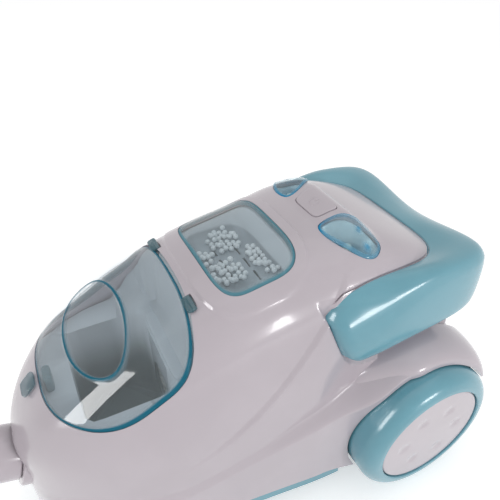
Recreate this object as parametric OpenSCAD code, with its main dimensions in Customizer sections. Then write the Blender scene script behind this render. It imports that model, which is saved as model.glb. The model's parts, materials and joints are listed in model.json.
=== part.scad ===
// Toy canister vacuum cleaner on two big rear wheels and a front caster.
// Millimetres, +Z up, nose towards -Y, origin on the floor below the middle of the box.
// The pale body, its lid, window and lenses are all cut from one lofted skin.

/* [Body skin] */
// Width of the body at its waist
shell_w = 132; // [126:1:138]
// Height of the waist, where the body is widest
waist_z = 85; // [80:1:90]
// Height of the crown of the body
crown_z = 194; // [190:1:198]
// Place of the crown along the body
crown_y = 61; // [55:1:67]
// Front end of the nose
nose_y = -135; // [-137:1:-133]
// Rear wall of the body
tail_y = 162; // [160:1:164]
// Place where the nose reaches the full width
widest_y = -39; // [-45:1:-33]
// Height of the body's lower edge
foot_z = 25; // [23:1:27]
// Wall thickness of the body
wall = 2.5; // [2:0.1:3]

/* [Terraces and fenders] */
// Lowest height of the upper crease along the side
crease_z0 = 86; // [82:1:90]
// Step of the side below the upper crease
crease_step = 2.5; // [1:0.1:4]
// Height of the lower crease near the nose
crest_z0 = 66; // [62:1:70]
// Rise of the lower crease from the nose to the fender
crest_rise = 53; // [50:0.5:55]
// Step of the skirt below the lower crease
skirt_step = 2; // [1:0.1:4]
// Overhang of a fender beyond the body's waist
fender_out = 26; // [24:1:28]
// Height of the raised bar that carries the button and the lamps
bar_h = 8; // [6:0.5:10]

/* [Wheels] */
// Radius of a rear wheel
tyre_r = 53; // [51:0.5:54]
// Width of a rear wheel
tyre_w = 26; // [24:0.5:28]
// Gap between the body's wheel wall and the wheel
wheel_gap = 6.5; // [5:0.5:8]
// Place of the rear axle along the body
axle_y = 116; // [114:0.5:118]
// Radius of the rear axle
axle_r = 3; // [2.5:0.1:3.5]
// Width of a wheel's rim beyond its hub cap
rim_w = 12.4; // [11:0.2:15]
// Room between a wheel and its arch
arch_gap = 2.5; // [2:0.1:3.5]

/* [Dust lid] */
// Tilt of the plane that the lid's outline is drawn on
lid_tilt = 30; // [28:1:32]
// Width of the body left beside the lid opening
lid_side = 7.4; // [7:0.2:10]
// Reach of the lid opening from its middle to the front
lid_front = 55.5; // [53:0.5:57]
// Reach of the lid opening from its middle to the hinge
lid_rear = 43.5; // [42.5:0.1:44]
// Thickness of the lid
lid_t = 2; // [1.6:0.1:2.4]
// Radius of a hinge pin
hinge_r = 1; // [0.8:0.1:1.2]

/* [Bead window] */
// Half width of the bead window
window_a = 41.3; // [38:0.2:43]
// Half length of the bead window
window_b = 26; // [23:0.5:27]
// Place of the window's middle along the body
window_y = 15.5; // [14:0.5:17]
// Depth of the bead chamber's floor below the crown
bead_depth = 23; // [22:1:26]
// Radius of a foam bead
bead_r = 1.9; // [1.5:0.1:2]

/* [Button and lamps] */
// Half width of the button at its front
button_front = 12.2; // [11:0.2:13]
// Half width of the button at its rear
button_rear = 15.7; // [14:0.2:16]
// Travel of the button
button_travel = 2.2; // [1.5:0.1:2.4]
// Long half axis of a lamp lens
lens_a = 17.5; // [16:0.5:18]
// Short half axis of a lamp lens
lens_b = 11; // [10:0.5:12]
// Depth of the control board below the crown
board_depth = 15.4; // [14:0.2:17]

/* [Bumper] */
// Overhang of the bumper beyond the body's waist
bumper_out = 8; // [6:0.5:10]
// Height of the bumper's outside along the side
bumper_h = 26; // [22:1:30]

/* [Base and caster] */
// Height of the base's underside above the floor
base_z = 11; // [10:0.5:12]
// Thickness of the base's floor
base_t = 3; // [2.5:0.1:3]
// Place of the caster's swivel along the body
caster_y = -85; // [-88:1:-82]
// Radius of the caster wheel
caster_r = 11; // [10:0.5:12]
// Trail of the caster wheel behind its swivel
caster_trail = 9; // [7:0.5:10]

/* [Hose inlet] */
// Tilt of the inlet above the floor
inlet_tilt = 19; // [15:1:22]
// Height of the inlet at the nose
inlet_z = 74; // [70:1:76]
// Outer radius of the hose cuff
cuff_r = 17; // [16:0.5:18]
// Radius of the socket that a hose plugs into
socket_r = 14.5; // [13.5:0.1:15]
// Depth of that socket
socket_h = 24; // [18:1:26]

/* [Fan and battery] */
// Radius of the fan's impeller
fan_r = 31; // [28:1:32]
// Radius of the motor's can
motor_r = 12; // [10:0.5:13]
// Radius of a battery cell
cell_r = 7.1; // [6.9:0.1:7.2]
// Length of a battery cell
cell_l = 49.2; // [48:0.2:50]

/* [Fits] */
// Running clearance on a radius
run = 0.06; // [0.03:0.01:0.1]
// Gap between a moving piece and its neighbours
gap = 0.4; // [0.35:0.05:0.5]
// Gap between fixed pieces that seat on each other
seat = 0.2; // [0.1:0.05:0.3]

/* [Hidden] */
$fn = 64;
pale = [0.84, 0.81, 0.82];
turquoise = [0.44, 0.65, 0.71];
clear_blue = [0.55, 0.75, 0.82, 0.5];
grey = [0.55, 0.57, 0.56];
steel = [0.75, 0.76, 0.78];
axle_z = tyre_r;
arch_r = tyre_r + arch_gap;
open_l = 1.2 * arch_r;
well_x = shell_w / 2 + 2;
wheel_x = well_x + wheel_gap;
waist = shell_w / 2;
body_h = crown_z - waist_z;
bead_floor = crown_z - bead_depth;
board_z = crown_z - board_depth;
cap_r = tyre_r - rim_w;
lid_a = waist - lid_side;

// Shape functions of the skin
function bow(t, n) = pow(max(0, 1 - pow(max(0, t), n)), 1 / n);
function ease(a, b, t) = let (k = min(1, max(0, (t - a) / (b - a)))) k * k * (3 - 2 * k);
function mix(a, b, k) = a + (b - a) * k;

// The plan is a half ellipse at the nose and a squared curve at the tail
nose_l = widest_y - nose_y;
tail_l = tail_y - widest_y;
tail_n = 9;
function half_w(y) = waist * (y < widest_y ? bow((widest_y - y) / nose_l, 2)
                                           : bow((y - widest_y) / tail_l, tail_n));

// The roof line swells to the crown, falls to the rear and drops to a ledge under the bumper
roof_fall = 160;
ledge_y = 149;
ledge_z = crown_z - 70;
function roof_z(y) = waist_z + body_h * (y < crown_y ? bow((crown_y - y) / (crown_y - nose_y), 1.75)
                                                     : bow((y - crown_y) / roof_fall, 1.6));
function top_z(y, inset = 0) = mix(roof_z(y), ledge_z, ease(-2, 2, y + inset - ledge_y)) - inset;
function sect_n(y) = 3.2 + 3 * ease(20, 120, y);
function hood_z(x, y, inset) =
  waist_z + (top_z(y, inset) - waist_z) * bow(abs(x) / max(0.5, half_w(y) - inset), sect_n(y));

// The raised bar is a ramp that faces the nose and slopes down to both sides
bar_y0 = 60;
bar_y1 = 82;
bar_y2 = 96;
bar_x0 = 16;
bar_x1 = 50;
function bar(x, y) = bar_h * ease(bar_y0, bar_y1, y) * (1 - ease(bar_y1 + 1, bar_y2, y))
                   * (1 - ease(bar_x0, bar_x1, abs(x)));

// Two terraces run along the side: the upper crease, and the lower one that turns into the fender's crest
crease_y = -52;
function crease_z(y) = crease_z0 + (y < crease_y ? 14 * pow((crease_y - y) / (crease_y - nose_y), 2)
                                                 : 74 * pow((y - crease_y) / 95, 1.7));
crest_r = arch_r + 10.5;
function crest_rise_z(y) = crest_z0 + crest_rise * pow(max(0, y - crease_y) / (axle_y - crease_y), 1.35);
function crest_arc_z(y) = axle_z + sqrt(max(0, crest_r * crest_r - pow(y - axle_y, 2)));
function crest_z(y) = mix(crest_rise_z(y), crest_arc_z(y), ease(60, 95, y));
skirt_y0 = -20;
skirt_y1 = 64;
fender_y = 150;
skirt_out = 7;
tip_y = 150;
function skirt_x(y) = (y < widest_y ? half_w(y) : waist)
                    + (skirt_step + skirt_out * ease(skirt_y0, skirt_y1, y)
                       + (fender_out - skirt_step - skirt_out) * ease(skirt_y1, fender_y, y))
                      * bow((y - tip_y) / (tail_y - tip_y), 2.4);
function terrace(y, z) =
  crease_step * ease(-60, 10, y) * (1 - ease(40, 75, y))
  * (1 - ease(crease_z(y) - crease_fall, crease_z(y), z))
  + (skirt_x(y) - half_w(y)) * ease(nose_y, nose_y + 30, y)
  * (1 - ease(crest_z(y) - crest_fall, crest_z(y), z));

// Heights of the points down one side: shoulder, upper crease, crest and skirt, with n points in each part
shoulder = 0.8;
crease_fall = 5;
crest_fall = 9;
function side_levels(y, top, foot, n) =
  let (c = min(top - 1, crest_z(y) + 1), d = c - crest_fall - 2,
       a = max(c + 2, min(top - 0.5, crease_z(y) + 0.5)), b = max(c + 1, a - crease_fall - 1),
       levels = [top, a, b, c, d])
  concat([for (i = [0 : 3], k = [0 : n[i + 1] - 1]) mix(levels[i], levels[i + 1], k / n[i + 1])],
         [for (k = [0 : n[5]]) mix(d, foot, k / n[5])]);

// One cross-section of the skin at y, from the right foot over the roof to the left foot
function half_ring(y, inset, n, foot) =
  let (w = max(1, half_w(y) - inset), h = max(2, top_z(y, inset) - waist_z), e = sect_n(y))
  concat([for (k = [0 : n[0] - 1]) let (x = w * shoulder * k / n[0]) [x, waist_z + h * bow(x / w, e)]],
         [for (z = side_levels(y, waist_z + h * bow(shoulder, e), foot, n))
           [w * bow((z - waist_z) / h, e), z]]);
function ring(y, inset, n, dressed, foot) =
  let (half = half_ring(y, inset, n, foot), last = len(half) - 1)
  [for (k = [-last : last])
    let (p = half[abs(k)])
    [sign(k) * (p[0] + (dressed ? terrace(y, p[1]) : 0)), y, p[1] + (dressed ? bar(p[0], y) : 0)]];

// A closed solid through a list of rings, with a fan at each end
function sum_of(list) = [for (v = list) 1] * list;
function middle(r) = sum_of(r) / len(r);
module loft(rings) {
  n = len(rings[0]);
  m = len(rings);
  points = concat([for (r = rings) each r], [middle(rings[0]), middle(rings[m - 1])]);
  sides = [for (i = [0 : m - 2], j = [0 : n - 1])
    let (a = i * n + j, b = i * n + (j + 1) % n, c = a + n, d = b + n) each [[a, d, b], [a, c, d]]];
  front = [for (j = [0 : n - 1]) [m * n, j, (j + 1) % n]];
  back = [for (j = [0 : n - 1]) [m * n + 1, (m - 1) * n + (j + 1) % n, (m - 1) * n + j]];
  polyhedron(points, concat(sides, front, back), 10);
}

// Places of the cross-sections: close together where the skin bends
function stations(a, b) = concat([for (k = [0 : 9]) mix(a, -60, 1 - cos(9 * k))],
                                 [for (y = [-45 : 15 : 45]) y],
                                 [for (y = [56 : 4 : 100]) y],
                                 [for (y = [108 : 8 : 140]) y],
                                 [144, 147, 149, 151, 154, 157, b - 2, b - 0.7, b]);
function plain_stations(a, b, inset) = concat([for (k = [0 : 6]) mix(a, -60, 1 - cos(13 * k))],
                                       [for (y = [-40 : 20 : 120]) y],
                                       [for (y = [-12, -2, 0, 2]) ledge_y - inset + y], [b - 3, b]);
module skin_solid(grow = 0) {
  loft([for (y = stations(nose_y + 0.3, tail_y - 0.3)) ring(y, -grow, [10, 5, 3, 4, 6, 3], true, foot_z)]);
}
module core(inset, foot = foot_z) {
  ends = [nose_y + max(0.3, inset + 0.3), tail_y - max(0.3, inset + 0.3)];
  loft([for (y = plain_stations(ends[0], ends[1], inset)) ring(y, inset, [7, 4, 1, 2, 1, 1], false, foot)]);
}

// Superellipse outlines
function around(a, front, rear, n, steps) = [for (k = [0 : steps - 1])
  let (t = 360 * k / steps, b = sin(t) < 0 ? front : rear,
       r = pow(pow(abs(cos(t)) / a, n) + pow(abs(sin(t)) / b, n), -1 / n))
  [r * cos(t), r * sin(t)]];

// A closed patch of the skin inside an outline, as thick as the step between its two insets
module patch(outline, rings, top, bottom) {
  n = len(outline);
  c = [for (i = [0, 1]) sum_of([for (p = outline) p[i]]) / n];
  grid = concat([c], [for (i = [1 : rings], p = outline) c + (p - c) * i / rings]);
  m = len(grid);
  points = concat([for (p = grid) top(p)], [for (p = grid) bottom(p)]);
  fan = [for (j = [0 : n - 1]) [0, 1 + (j + 1) % n, 1 + j]];
  bands = [for (i = [0 : rings - 2], j = [0 : n - 1])
    let (a = 1 + i * n + j, b = 1 + i * n + (j + 1) % n, c = a + n, d = b + n) each [[a, d, c], [a, b, d]]];
  upper = concat(fan, bands);
  lower = [for (f = upper) [f[0] + m, f[2] + m, f[1] + m]];
  rim = [for (j = [0 : n - 1])
    let (a = m - n + j, b = m - n + (j + 1) % n, c = a + m, d = b + m) each [[a, b, d], [a, d, c]]];
  polyhedron(points, concat(upper, lower, rim), 10);
}

// The lid's outline lies on a tilted plane: v runs up that plane and u stands on it
lid_back_y = -24.09;
lid_v = lid_back_y * cos(lid_tilt) + hood_z(0, lid_back_y, 0) * sin(lid_tilt) - lid_rear;
lid_n = 2.7;
lid_gap_rear = 1.9;
function tilted(x, v, u) = [x, v * cos(lid_tilt) - u * sin(lid_tilt), v * sin(lid_tilt) + u * cos(lid_tilt)];
function on_tilt(x, v, inset, low = 40, high = crown_z + 26, tries = 20) =
  let (u = (low + high) / 2, p = tilted(x, v, u))
  tries == 0 ? p : p[2] > hood_z(x, p[1], inset) ? on_tilt(x, v, inset, low, u, tries - 1)
                                                 : on_tilt(x, v, inset, u, high, tries - 1);
module lid_cut(grow, low) {
  rotate([lid_tilt, 0, 0]) translate([0, lid_v, low]) linear_extrude(crown_z + 66 - low)
    polygon(around(lid_a + grow, lid_front + grow, lid_rear + grow, lid_n, 72));
}

// Hinge of the lid
hinge_x = 30.6;
hinge_edge = on_tilt(hinge_x, lid_v + lid_rear * bow(hinge_x / lid_a, lid_n), 0);
hinge_y = hinge_edge[1] + 1.908;
hinge_z = hood_z(hinge_x, hinge_y, 0) + 0.561;
knuckle_r = 2.2;
knuckle_w = 6;
ear_w = 2.2;
ear_l = 7;
pin_l = knuckle_w + 2 * (gap + ear_w);

// Lens outline: an oval that points from the button's front corner to the side and rear
lens_x = 34;
lens_y = 75;
lens_turn = 38;
lens_n = 2.3;
function lens_outline(s, grow) = [for (p = around(lens_a + grow, lens_b + grow, lens_b + grow, lens_n, 32))
  [s * (lens_x + p[0] * cos(lens_turn) - p[1] * sin(lens_turn)),
   lens_y + p[0] * sin(lens_turn) + p[1] * cos(lens_turn)]];
function turned(list, s) = s > 0 ? list : [for (k = [len(list) - 1 : -1 : 0]) list[k]];
lens_t = 1.8;

// Button outline: a trapezoid with round corners
button_y0 = 65;
button_y1 = 80;
button_rise = 0.8;
button_foot = crown_z - 7;
stem_r = 2.5;
switch_top = button_foot - 3 - button_travel - gap;
function button_outline(grow) = [for (p = around(1, 1, 1, 5, 40))
  [p[0] * (mix(button_front, button_rear, (p[1] + 1) / 2) + grow),
   mix(button_y0 - grow, button_y1 + grow, (p[1] + 1) / 2)]];

// Fixings
post_r = 4;
screw_r = 1.5;
screw_head_r = 3;
base_posts = [for (s = [-1, 1]) each [[s * 0.425 * waist, nose_y + 19], [s * (waist - 10), 30],
                                      [s * (waist - 16), tail_y - 17]]];
board_posts = [for (s = [-1, 1]) each [[s * 19, 60], [s * 20, 94]]];

// Inlet
module at_inlet() { translate([0, nose_y + 1, inlet_z]) rotate([90 - inlet_tilt, 0, 0]) children(); }
collar_r = cuff_r + 4;
spigot_r = cuff_r - 2;
cuff_bore = spigot_r - 2;
cuff_end = (out_front() - collar_side()) / cos(inlet_tilt);
function out_front() = axle_y + tyre_r + nose_y + 1;
function collar_side() = cuff_r * sin(inlet_tilt);

// An ear on each side of a knuckle carries the hinge pin
module hinge_ears() {
  difference() {
    for (s = [-1, 1], e = [-1, 1])
      translate([s * hinge_x + e * (knuckle_w / 2 + gap + ear_w / 2), hinge_y, hinge_z]) rotate([0, 90, 0]) {
        cylinder(r = knuckle_r, h = ear_w, center = true);
        translate([-knuckle_r, 0, -ear_w / 2]) cube([knuckle_r + 3, ear_l, ear_w]);
      }
    translate([-100, hinge_y, hinge_z]) rotate([0, 90, 0]) cylinder(r = hinge_r + run / 3, h = 200);
  }
}
module upper_shell() {
  color(pale) union() {
    pierced_shell();
    hinge_ears();
  }
}
module pierced_shell() {
  difference() {
    union() {
      difference() {
        skin_solid();
        translate([0, 0, -0.01]) core(wall, foot_z - 1);
      }
      // long screw posts under the roof, and short ones that carry the control board
      intersection() {
        core(wall / 2);
        union() {
          for (p = base_posts) translate([p[0], p[1], foot_z]) cylinder(r = post_r, h = crown_z);
          for (p = board_posts) translate([p[0], p[1], board_z]) cylinder(r = post_r - 1, h = 30);
        }
      }
    }
    lid_cut(0, 100);
    translate([0, window_y, bead_floor]) linear_extrude(60)
      polygon(around(window_a, window_b, window_b, 4.5, 48));
    translate([0, 0, board_z + 4]) linear_extrude(60) polygon(button_outline(gap));
    for (s = [-1, 1]) {
      translate([0, 0, board_z + 4]) linear_extrude(60) polygon(turned(lens_outline(s, 0), s));
      // wheel arch, and the open side behind the fender's tip
      translate([s * well_x, axle_y, axle_z]) rotate([0, s * 90, 0]) cylinder(r = arch_r, h = 60, $fn = 96);
      translate([s > 0 ? well_x : -well_x - 60, 0, 0]) rotate([90, 0, 90]) linear_extrude(60)
        polygon([[axle_y, axle_z], [axle_y + open_l, axle_z + arch_r - 1.5], [axle_y + open_l, -5],
                 [axle_y, -5]]);
      translate([s * (well_x - 6), axle_y, axle_z]) rotate([0, s * 90, 0]) cylinder(r = axle_r + gap, h = 12);
    }
    for (p = base_posts) translate([p[0], p[1], foot_z - 1]) cylinder(r = screw_r + run, h = 26);
    for (p = board_posts) translate([p[0], p[1], board_z - 1]) cylinder(r = screw_r + run, h = 8);
    at_inlet() translate([0, 0, -30]) cylinder(r = collar_r + seat, h = 45);
    for (s = [-1, 1]) translate([s * hinge_x - pin_l / 2 - gap, hinge_y, hinge_z]) {
      rotate([0, 90, 0]) cylinder(r = knuckle_r + gap, h = pin_l + 2 * gap);
      translate([0, -4, -6]) cube([pin_l + 2 * gap, 3.4, 6]);
    }
  }
}

base_in = 1;
base_back = 160;
base_mid = waist;
lip_h = 4;
function base_side(y) = y < skirt_y1 - 1 ? skirt_x(y) - base_in : base_mid;
base_ys = concat([for (k = [0 : 12]) mix(nose_y + base_in, -60, 1 - cos(7.5 * k))],
                 [for (y = [-50 : 10 : 60]) y], [skirt_y1 - 2, skirt_y1 + 1, base_back - 3, base_back]);
function mirrored(list) = concat(list, [for (k = [len(list) - 1 : -1 : 0]) [-list[k][0], list[k][1]]]);
rim_t = 7.5;
rim_l = nose_l - rim_t;
function rim_side(y) = y < widest_y ? max(0.6, (waist + skirt_step - rim_t) * bow((widest_y - y) / rim_l, 2))
                                    : base_side(y) - rim_t;
rim_ys = concat([for (k = [0 : 12]) mix(widest_y - rim_l + 0.2, -60, 1 - cos(7.5 * k))],
                [for (y = [-50 : 10 : 60]) y], [skirt_y1 - 2, skirt_y1 + 1, base_back - rim_t]);
function rim_outline() = mirrored([for (y = rim_ys) [rim_side(y), y]]);
lip_gap = 1.6;
function lip_side(y) = max(1, min(half_w(y) - wall, base_mid + wall) - lip_gap);
cup_r = caster_r + caster_trail + 4;
cup_t = 2.5;
cup_z = base_z + 19;
stem_top = cup_z + 16;
cell_y = [for (k = [0 : 3]) -39.5 + 15 * k];
cover_x = cell_l / 2 + 6.4;
cover_y = [-46.5, 16.5];
case_t = 1.6;
case_gap = 0.8;
cover_post_y = cover_y[1] + case_gap + case_t + post_r + seat;
axle_post_x = waist - 11;
caster_stem_r = 4;

module base_tray() {
  color(turquoise) difference() {
    union() {
      difference() {
        translate([0, 0, base_z]) linear_extrude(foot_z - base_z)
          polygon(mirrored([for (y = base_ys) [base_side(y), y]]));
        translate([0, 0, base_z + base_t]) linear_extrude(foot_z) polygon(rim_outline());
      }
      // locating lip inside the body
      difference() {
        translate([0, 0, foot_z - 1]) linear_extrude(lip_h + 1) polygon(lip_outline(0));
        translate([0, 0, foot_z - 2]) linear_extrude(lip_h + 4) polygon(lip_outline(2));
      }
      for (p = base_posts) translate([p[0], p[1], base_z]) cylinder(r = post_r + 1, h = foot_z - base_z);
      translate([0, cover_post_y, base_z]) cylinder(r = post_r, h = foot_z - base_z - 2);
      translate([0, caster_y, base_z]) cylinder(r = cup_r + cup_t, h = cup_z + cup_t - base_z);
      translate([0, caster_y, cup_z]) cylinder(r = caster_stem_r + 3.5, h = stem_top - cup_z);
      for (s = [-1, 1]) translate([s * axle_post_x, axle_y, base_z]) {
        translate([-3, -7, 0]) cube([6, 14, axle_z - base_z]);
        translate([-3, 0, axle_z - base_z]) rotate([0, 90, 0]) cylinder(r = 7, h = 6);
      }
    }
    translate([0, caster_y, base_z - 1]) cylinder(r = cup_r, h = cup_z - base_z + 1);
    translate([0, caster_y, cup_z - 1]) cylinder(r = caster_stem_r + run, h = 40);
    translate([-100, axle_y, axle_z]) rotate([0, 90, 0]) cylinder(r = axle_r + run / 3, h = 200);
    translate([-cover_x - 0.5, cover_y[0] - 0.5, base_z - 1])
      cube([2 * cover_x + 1, cover_y[1] - cover_y[0] + 1, base_t + 2]);
    for (p = base_posts) translate([p[0], p[1], foot_z]) cylinder(r = post_r + gap, h = lip_h + 1);
    for (p = base_posts) translate([p[0], p[1], base_z - 1]) {
      cylinder(r = screw_r + 0.2, h = 40);
      cylinder(r = screw_head_r + 0.3, h = 6);
    }
    translate([0, cover_post_y, base_z - 1]) cylinder(r = screw_r + run, h = 12);
    translate([-tab_a - 0.4, cover_y[1], base_z - 1]) cube([2 * tab_a + 0.8, tab_l + 0.4, 2.8]);
  }
}
lip_ys = concat([for (k = [0 : 12]) mix(nose_y + wall + 2, -60, 1 - cos(7.5 * k))],
                [for (y = [-40 : 20 : 120]) y], [140, 150, tail_y - wall - 1.5]);
function lip_outline(inset) = mirrored([for (y = lip_ys) [max(0.8, lip_side(y) - inset), y]]);

// The bumper wraps round the tail: an inner and an outer curve, and heights that follow the way round
bumper_y = 44;
bumper_rear = tail_y;
bumper_a = waist + bumper_out;
bumper_in = waist - 7;
bumper_side_z = crown_z - 42;
bumper_z = bumper_side_z - bumper_h;
bumper_corner_z = crown_z - 19;
bumper_rear_z = crown_z - 30;
panel_y = 136.5;
bumper_n = 5;
trim_t = 1.5;
function wrap(a, rear, t) =
  pow(pow(abs(cos(t)) / a, bumper_n) + pow(sin(t) / (rear - bumper_y), bumper_n), -1 / bumper_n)
  * [cos(t), sin(t)] + [0, bumper_y];
function corner(t) = min(t, 180 - t);
function bumper_top(t) = mix(mix(bumper_side_z, bumper_corner_z, ease(15, 50, corner(t))), bumper_rear_z,
                             ease(58, 90, corner(t)));
function bumper_low(t) = bumper_z + 6 * ease(20, 60, corner(t));
function bumper_ring(t) =
  let (i = wrap(bumper_in, panel_y, t), o = wrap(bumper_a, bumper_rear, t), c = [0, bumper_y],
       zi = hood_z(i[0], i[1], 0) + trim_t, zo = bumper_top(t), zl = bumper_low(t))
  [for (q = [[0, zi], [0.45, mix(zi, zo, 0.4) + 2.5], [0.8, mix(zi, zo, 0.75) + 1.5], [0.95, zo - 3],
             [1, zo - 9], [1.02, mix(zo, zl, 0.5)], [1, zl + 6], [0.9, zl + 1.5], [0.75, zl], [-0.6, zl],
             [-0.6, zi - 12]])
    let (p = i + (o - i) * q[0]) [p[0], p[1], q[1]]];
module rear_bumper() {
  color(turquoise) difference() {
    loft([for (t = [0 : 5 : 180]) bumper_ring(t)]);
    skin_solid(seat);
    translate([-100, 0, 0]) rotate([90, 0, 90]) linear_extrude(200)
      polygon([[bumper_y - 24, crown_z + 1], [bumper_y - 13, crown_z + 1], [bumper_y + 21, bumper_z - 16],
               [bumper_y - 24, bumper_z - 16]]);
  }
}

lid_outline = [for (p = around(lid_a - gap, lid_front - gap, lid_rear - lid_gap_rear, lid_n, 48))
  p + [0, lid_v]];
tab_y = on_tilt(0, lid_v - lid_front, 0)[1] + 4.17;
tab_tilt = 46;
catch_y = tab_y + 6;
catch_w = 14;
catch_h = 7.9;
module dust_lid() {
  notch = pin_l + 4 * gap;
  color(clear_blue) difference() {
    union() {
      difference() {
        patch(lid_outline, 7, function (p) on_tilt(p[0], p[1], 0), function (p) on_tilt(p[0], p[1], lid_t));
        for (s = [-1, 1]) translate([s * hinge_x - notch / 2, hinge_y - 3.6, hinge_z - 14])
          cube([notch, 12, 28]);
      }
      for (s = [-1, 1]) translate([s * hinge_x - knuckle_w / 2, hinge_y, hinge_z]) {
        rotate([0, 90, 0]) cylinder(r = knuckle_r, h = knuckle_w);
        translate([0, -5.5, -3.4]) cube([knuckle_w, 4.1, 3.2]);
      }
      // finger tab over the nose, and the catch block under the front edge
      translate([0, tab_y, top_z(tab_y)]) rotate([tab_tilt, 0, 0]) {
        translate([-6, -13, 0.8]) cube([12, 13, 1.8]);
        translate([-6, -3, -1.2]) cube([12, 3, 3]);
      }
      translate([-catch_w / 2, catch_y, top_z(catch_y) - 1 - catch_h]) cube([catch_w, 5, catch_h]);
    }
    for (s = [-1, 1]) translate([s * hinge_x - 10, hinge_y, hinge_z]) rotate([0, 90, 0])
      cylinder(r = hinge_r + run, h = 20);
  }
}
module hinge_pins() {
  color(steel) for (s = [-1, 1]) translate([s * hinge_x - pin_l / 2, hinge_y, hinge_z]) rotate([0, 90, 0])
    cylinder(r = hinge_r, h = pin_l);
}

// The bin is a bowl under the lid's opening, with a flat shelf round a square tub
bin_y = -66;
bin_t = 2;
bowl_out = 0.8;
shelf_z = waist_z + 0.33 * body_h;
shelf_step = 3.5;
step_y = -31.4;
tub_a = 38;
tub_b = 26;
tub_z = 50;
filter_z = 84;
filter_r = 16;
function bowl_outline(grow) = [for (p = around(lid_a + grow, lid_front + grow, lid_rear + grow, lid_n, 60))
  let (q = on_tilt(p[0], p[1] + lid_v, 0)) [q[0], q[1]]];
module bowl_form(grow, low) {
  translate([0, 0, low]) linear_extrude(crown_z - low) polygon(bowl_outline(grow));
}
module tub_form(grow, low, high) {
  translate([0, bin_y, low]) linear_extrude(high - low)
    polygon(around(tub_a + grow, tub_b + grow, tub_b + grow, 10, 48));
}
module dust_bin() {
  color(grey) difference() {
    union() {
      intersection() {
        core(wall + seat);
        bowl_form(bowl_out + bin_t, shelf_z - bin_t);
      }
      tub_form(bin_t, tub_z, shelf_z);
    }
    difference() {
      bowl_form(bowl_out, shelf_z);
      translate([-tub_a - bin_t, step_y, shelf_z - 1]) cube([2 * (tub_a + bin_t), 20, shelf_step + 1]);
    }
    tub_form(0, tub_z + bin_t, shelf_z + 1);
    // the inlet opens through the front wall above the floor
    intersection() {
      at_inlet() translate([0, 0, -60]) cylinder(r = cuff_bore, h = 50);
      translate([-tub_a, nose_y, tub_z + bin_t]) cube([2 * tub_a, bin_y - nose_y, shelf_z - tub_z]);
    }
    translate([0, bin_y + tub_b - 4, filter_z]) rotate([-90, 0, 0]) cylinder(r = filter_r, h = 12);
    for (s = [-1, 1]) translate([s * hinge_x - pin_l / 2 - 1, hinge_y - 8, hinge_z - 6])
      cube([pin_l + 2, 20, 12]);
  }
}
module dust_filter() {
  rim = 3;
  color("white") translate([0, bin_y + tub_b + bin_t + seat, filter_z]) rotate([-90, 0, 0]) difference() {
    cylinder(r = filter_r + rim, h = rim);
    for (i = [-2 : 2], j = [-2 : 2]) if (norm([i, j]) < 2.6)
      translate([i * 6 - 2.2, j * 6 - 2.2, -1]) cube([4.4, 4.4, rim + 2]);
  }
}

window_in = seat + 0.05;
window_outline = [for (p = around(window_a - window_in, window_b - window_in, window_b - window_in, 4.5, 48))
  p + [0, window_y]];
module bead_window() {
  color(clear_blue) patch(window_outline, 4, function (p) [p[0], p[1], hood_z(p[0], p[1], 0)],
                          function (p) [p[0], p[1], hood_z(p[0], p[1], wall)]);
}
chamber_t = 2;
chamber_in = 3.5;
chamber_gap = 0.6;
module chamber_form(grow, low) {
  out = grow - chamber_in;
  translate([0, window_y, low]) linear_extrude(crown_z + 26 - low)
    polygon(around(window_a + out, window_b + out, window_b + out, 4.5, 48));
}
module bead_chamber() {
  color(pale) difference() {
    union() {
      difference() {
        intersection() {
          core(wall + chamber_gap);
          chamber_form(chamber_in + 3, bead_floor);
        }
        core(wall + chamber_gap + chamber_t);
      }
      intersection() {
        core(wall + chamber_gap);
        chamber_form(chamber_t, bead_floor - chamber_t);
      }
    }
    chamber_form(0, bead_floor);
    for (i = [-1, 0, 1], j = [0, 1]) translate([i * 14 - 5 + 5 * j, window_y - 8 + 14 * j, bead_floor - 5])
      cube([10, 1.6, 10]);
  }
}
// The beads lie in heaps: middle and half axes of each heap, from the window's middle
heaps = [[-20, 3, 13, 9], [7, 15, 16, 6.5], [-9, -15, 7, 5], [13, -9, 12, 10]];
bead_pitch = 2 * bead_r + 0.3;
bead_wander = 0.5;
function in_heap(x, y) = min([for (h = heaps) norm([(x - h[0]) / h[2], (y - h[1]) / h[3]])]) < 1;
module foam_beads() {
  nx = ceil(window_a / bead_pitch);
  ny = ceil(window_b / bead_pitch);
  reach = [window_a - chamber_in - bead_pitch / 2, window_b - chamber_in - bead_pitch / 2];
  color("white") for (i = [-nx : nx], j = [-ny : ny])
    let (x = (i + (j % 2) / 2) * bead_pitch, y = j * bead_pitch * cos(30) + bead_wander * sin(70 * i))
    if (in_heap(x, y) && abs(x) < reach[0] && abs(y) < reach[1])
      translate([x, window_y + y, bead_floor + bead_r + 0.05]) sphere(r = bead_r, $fn = 24);
}

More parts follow.
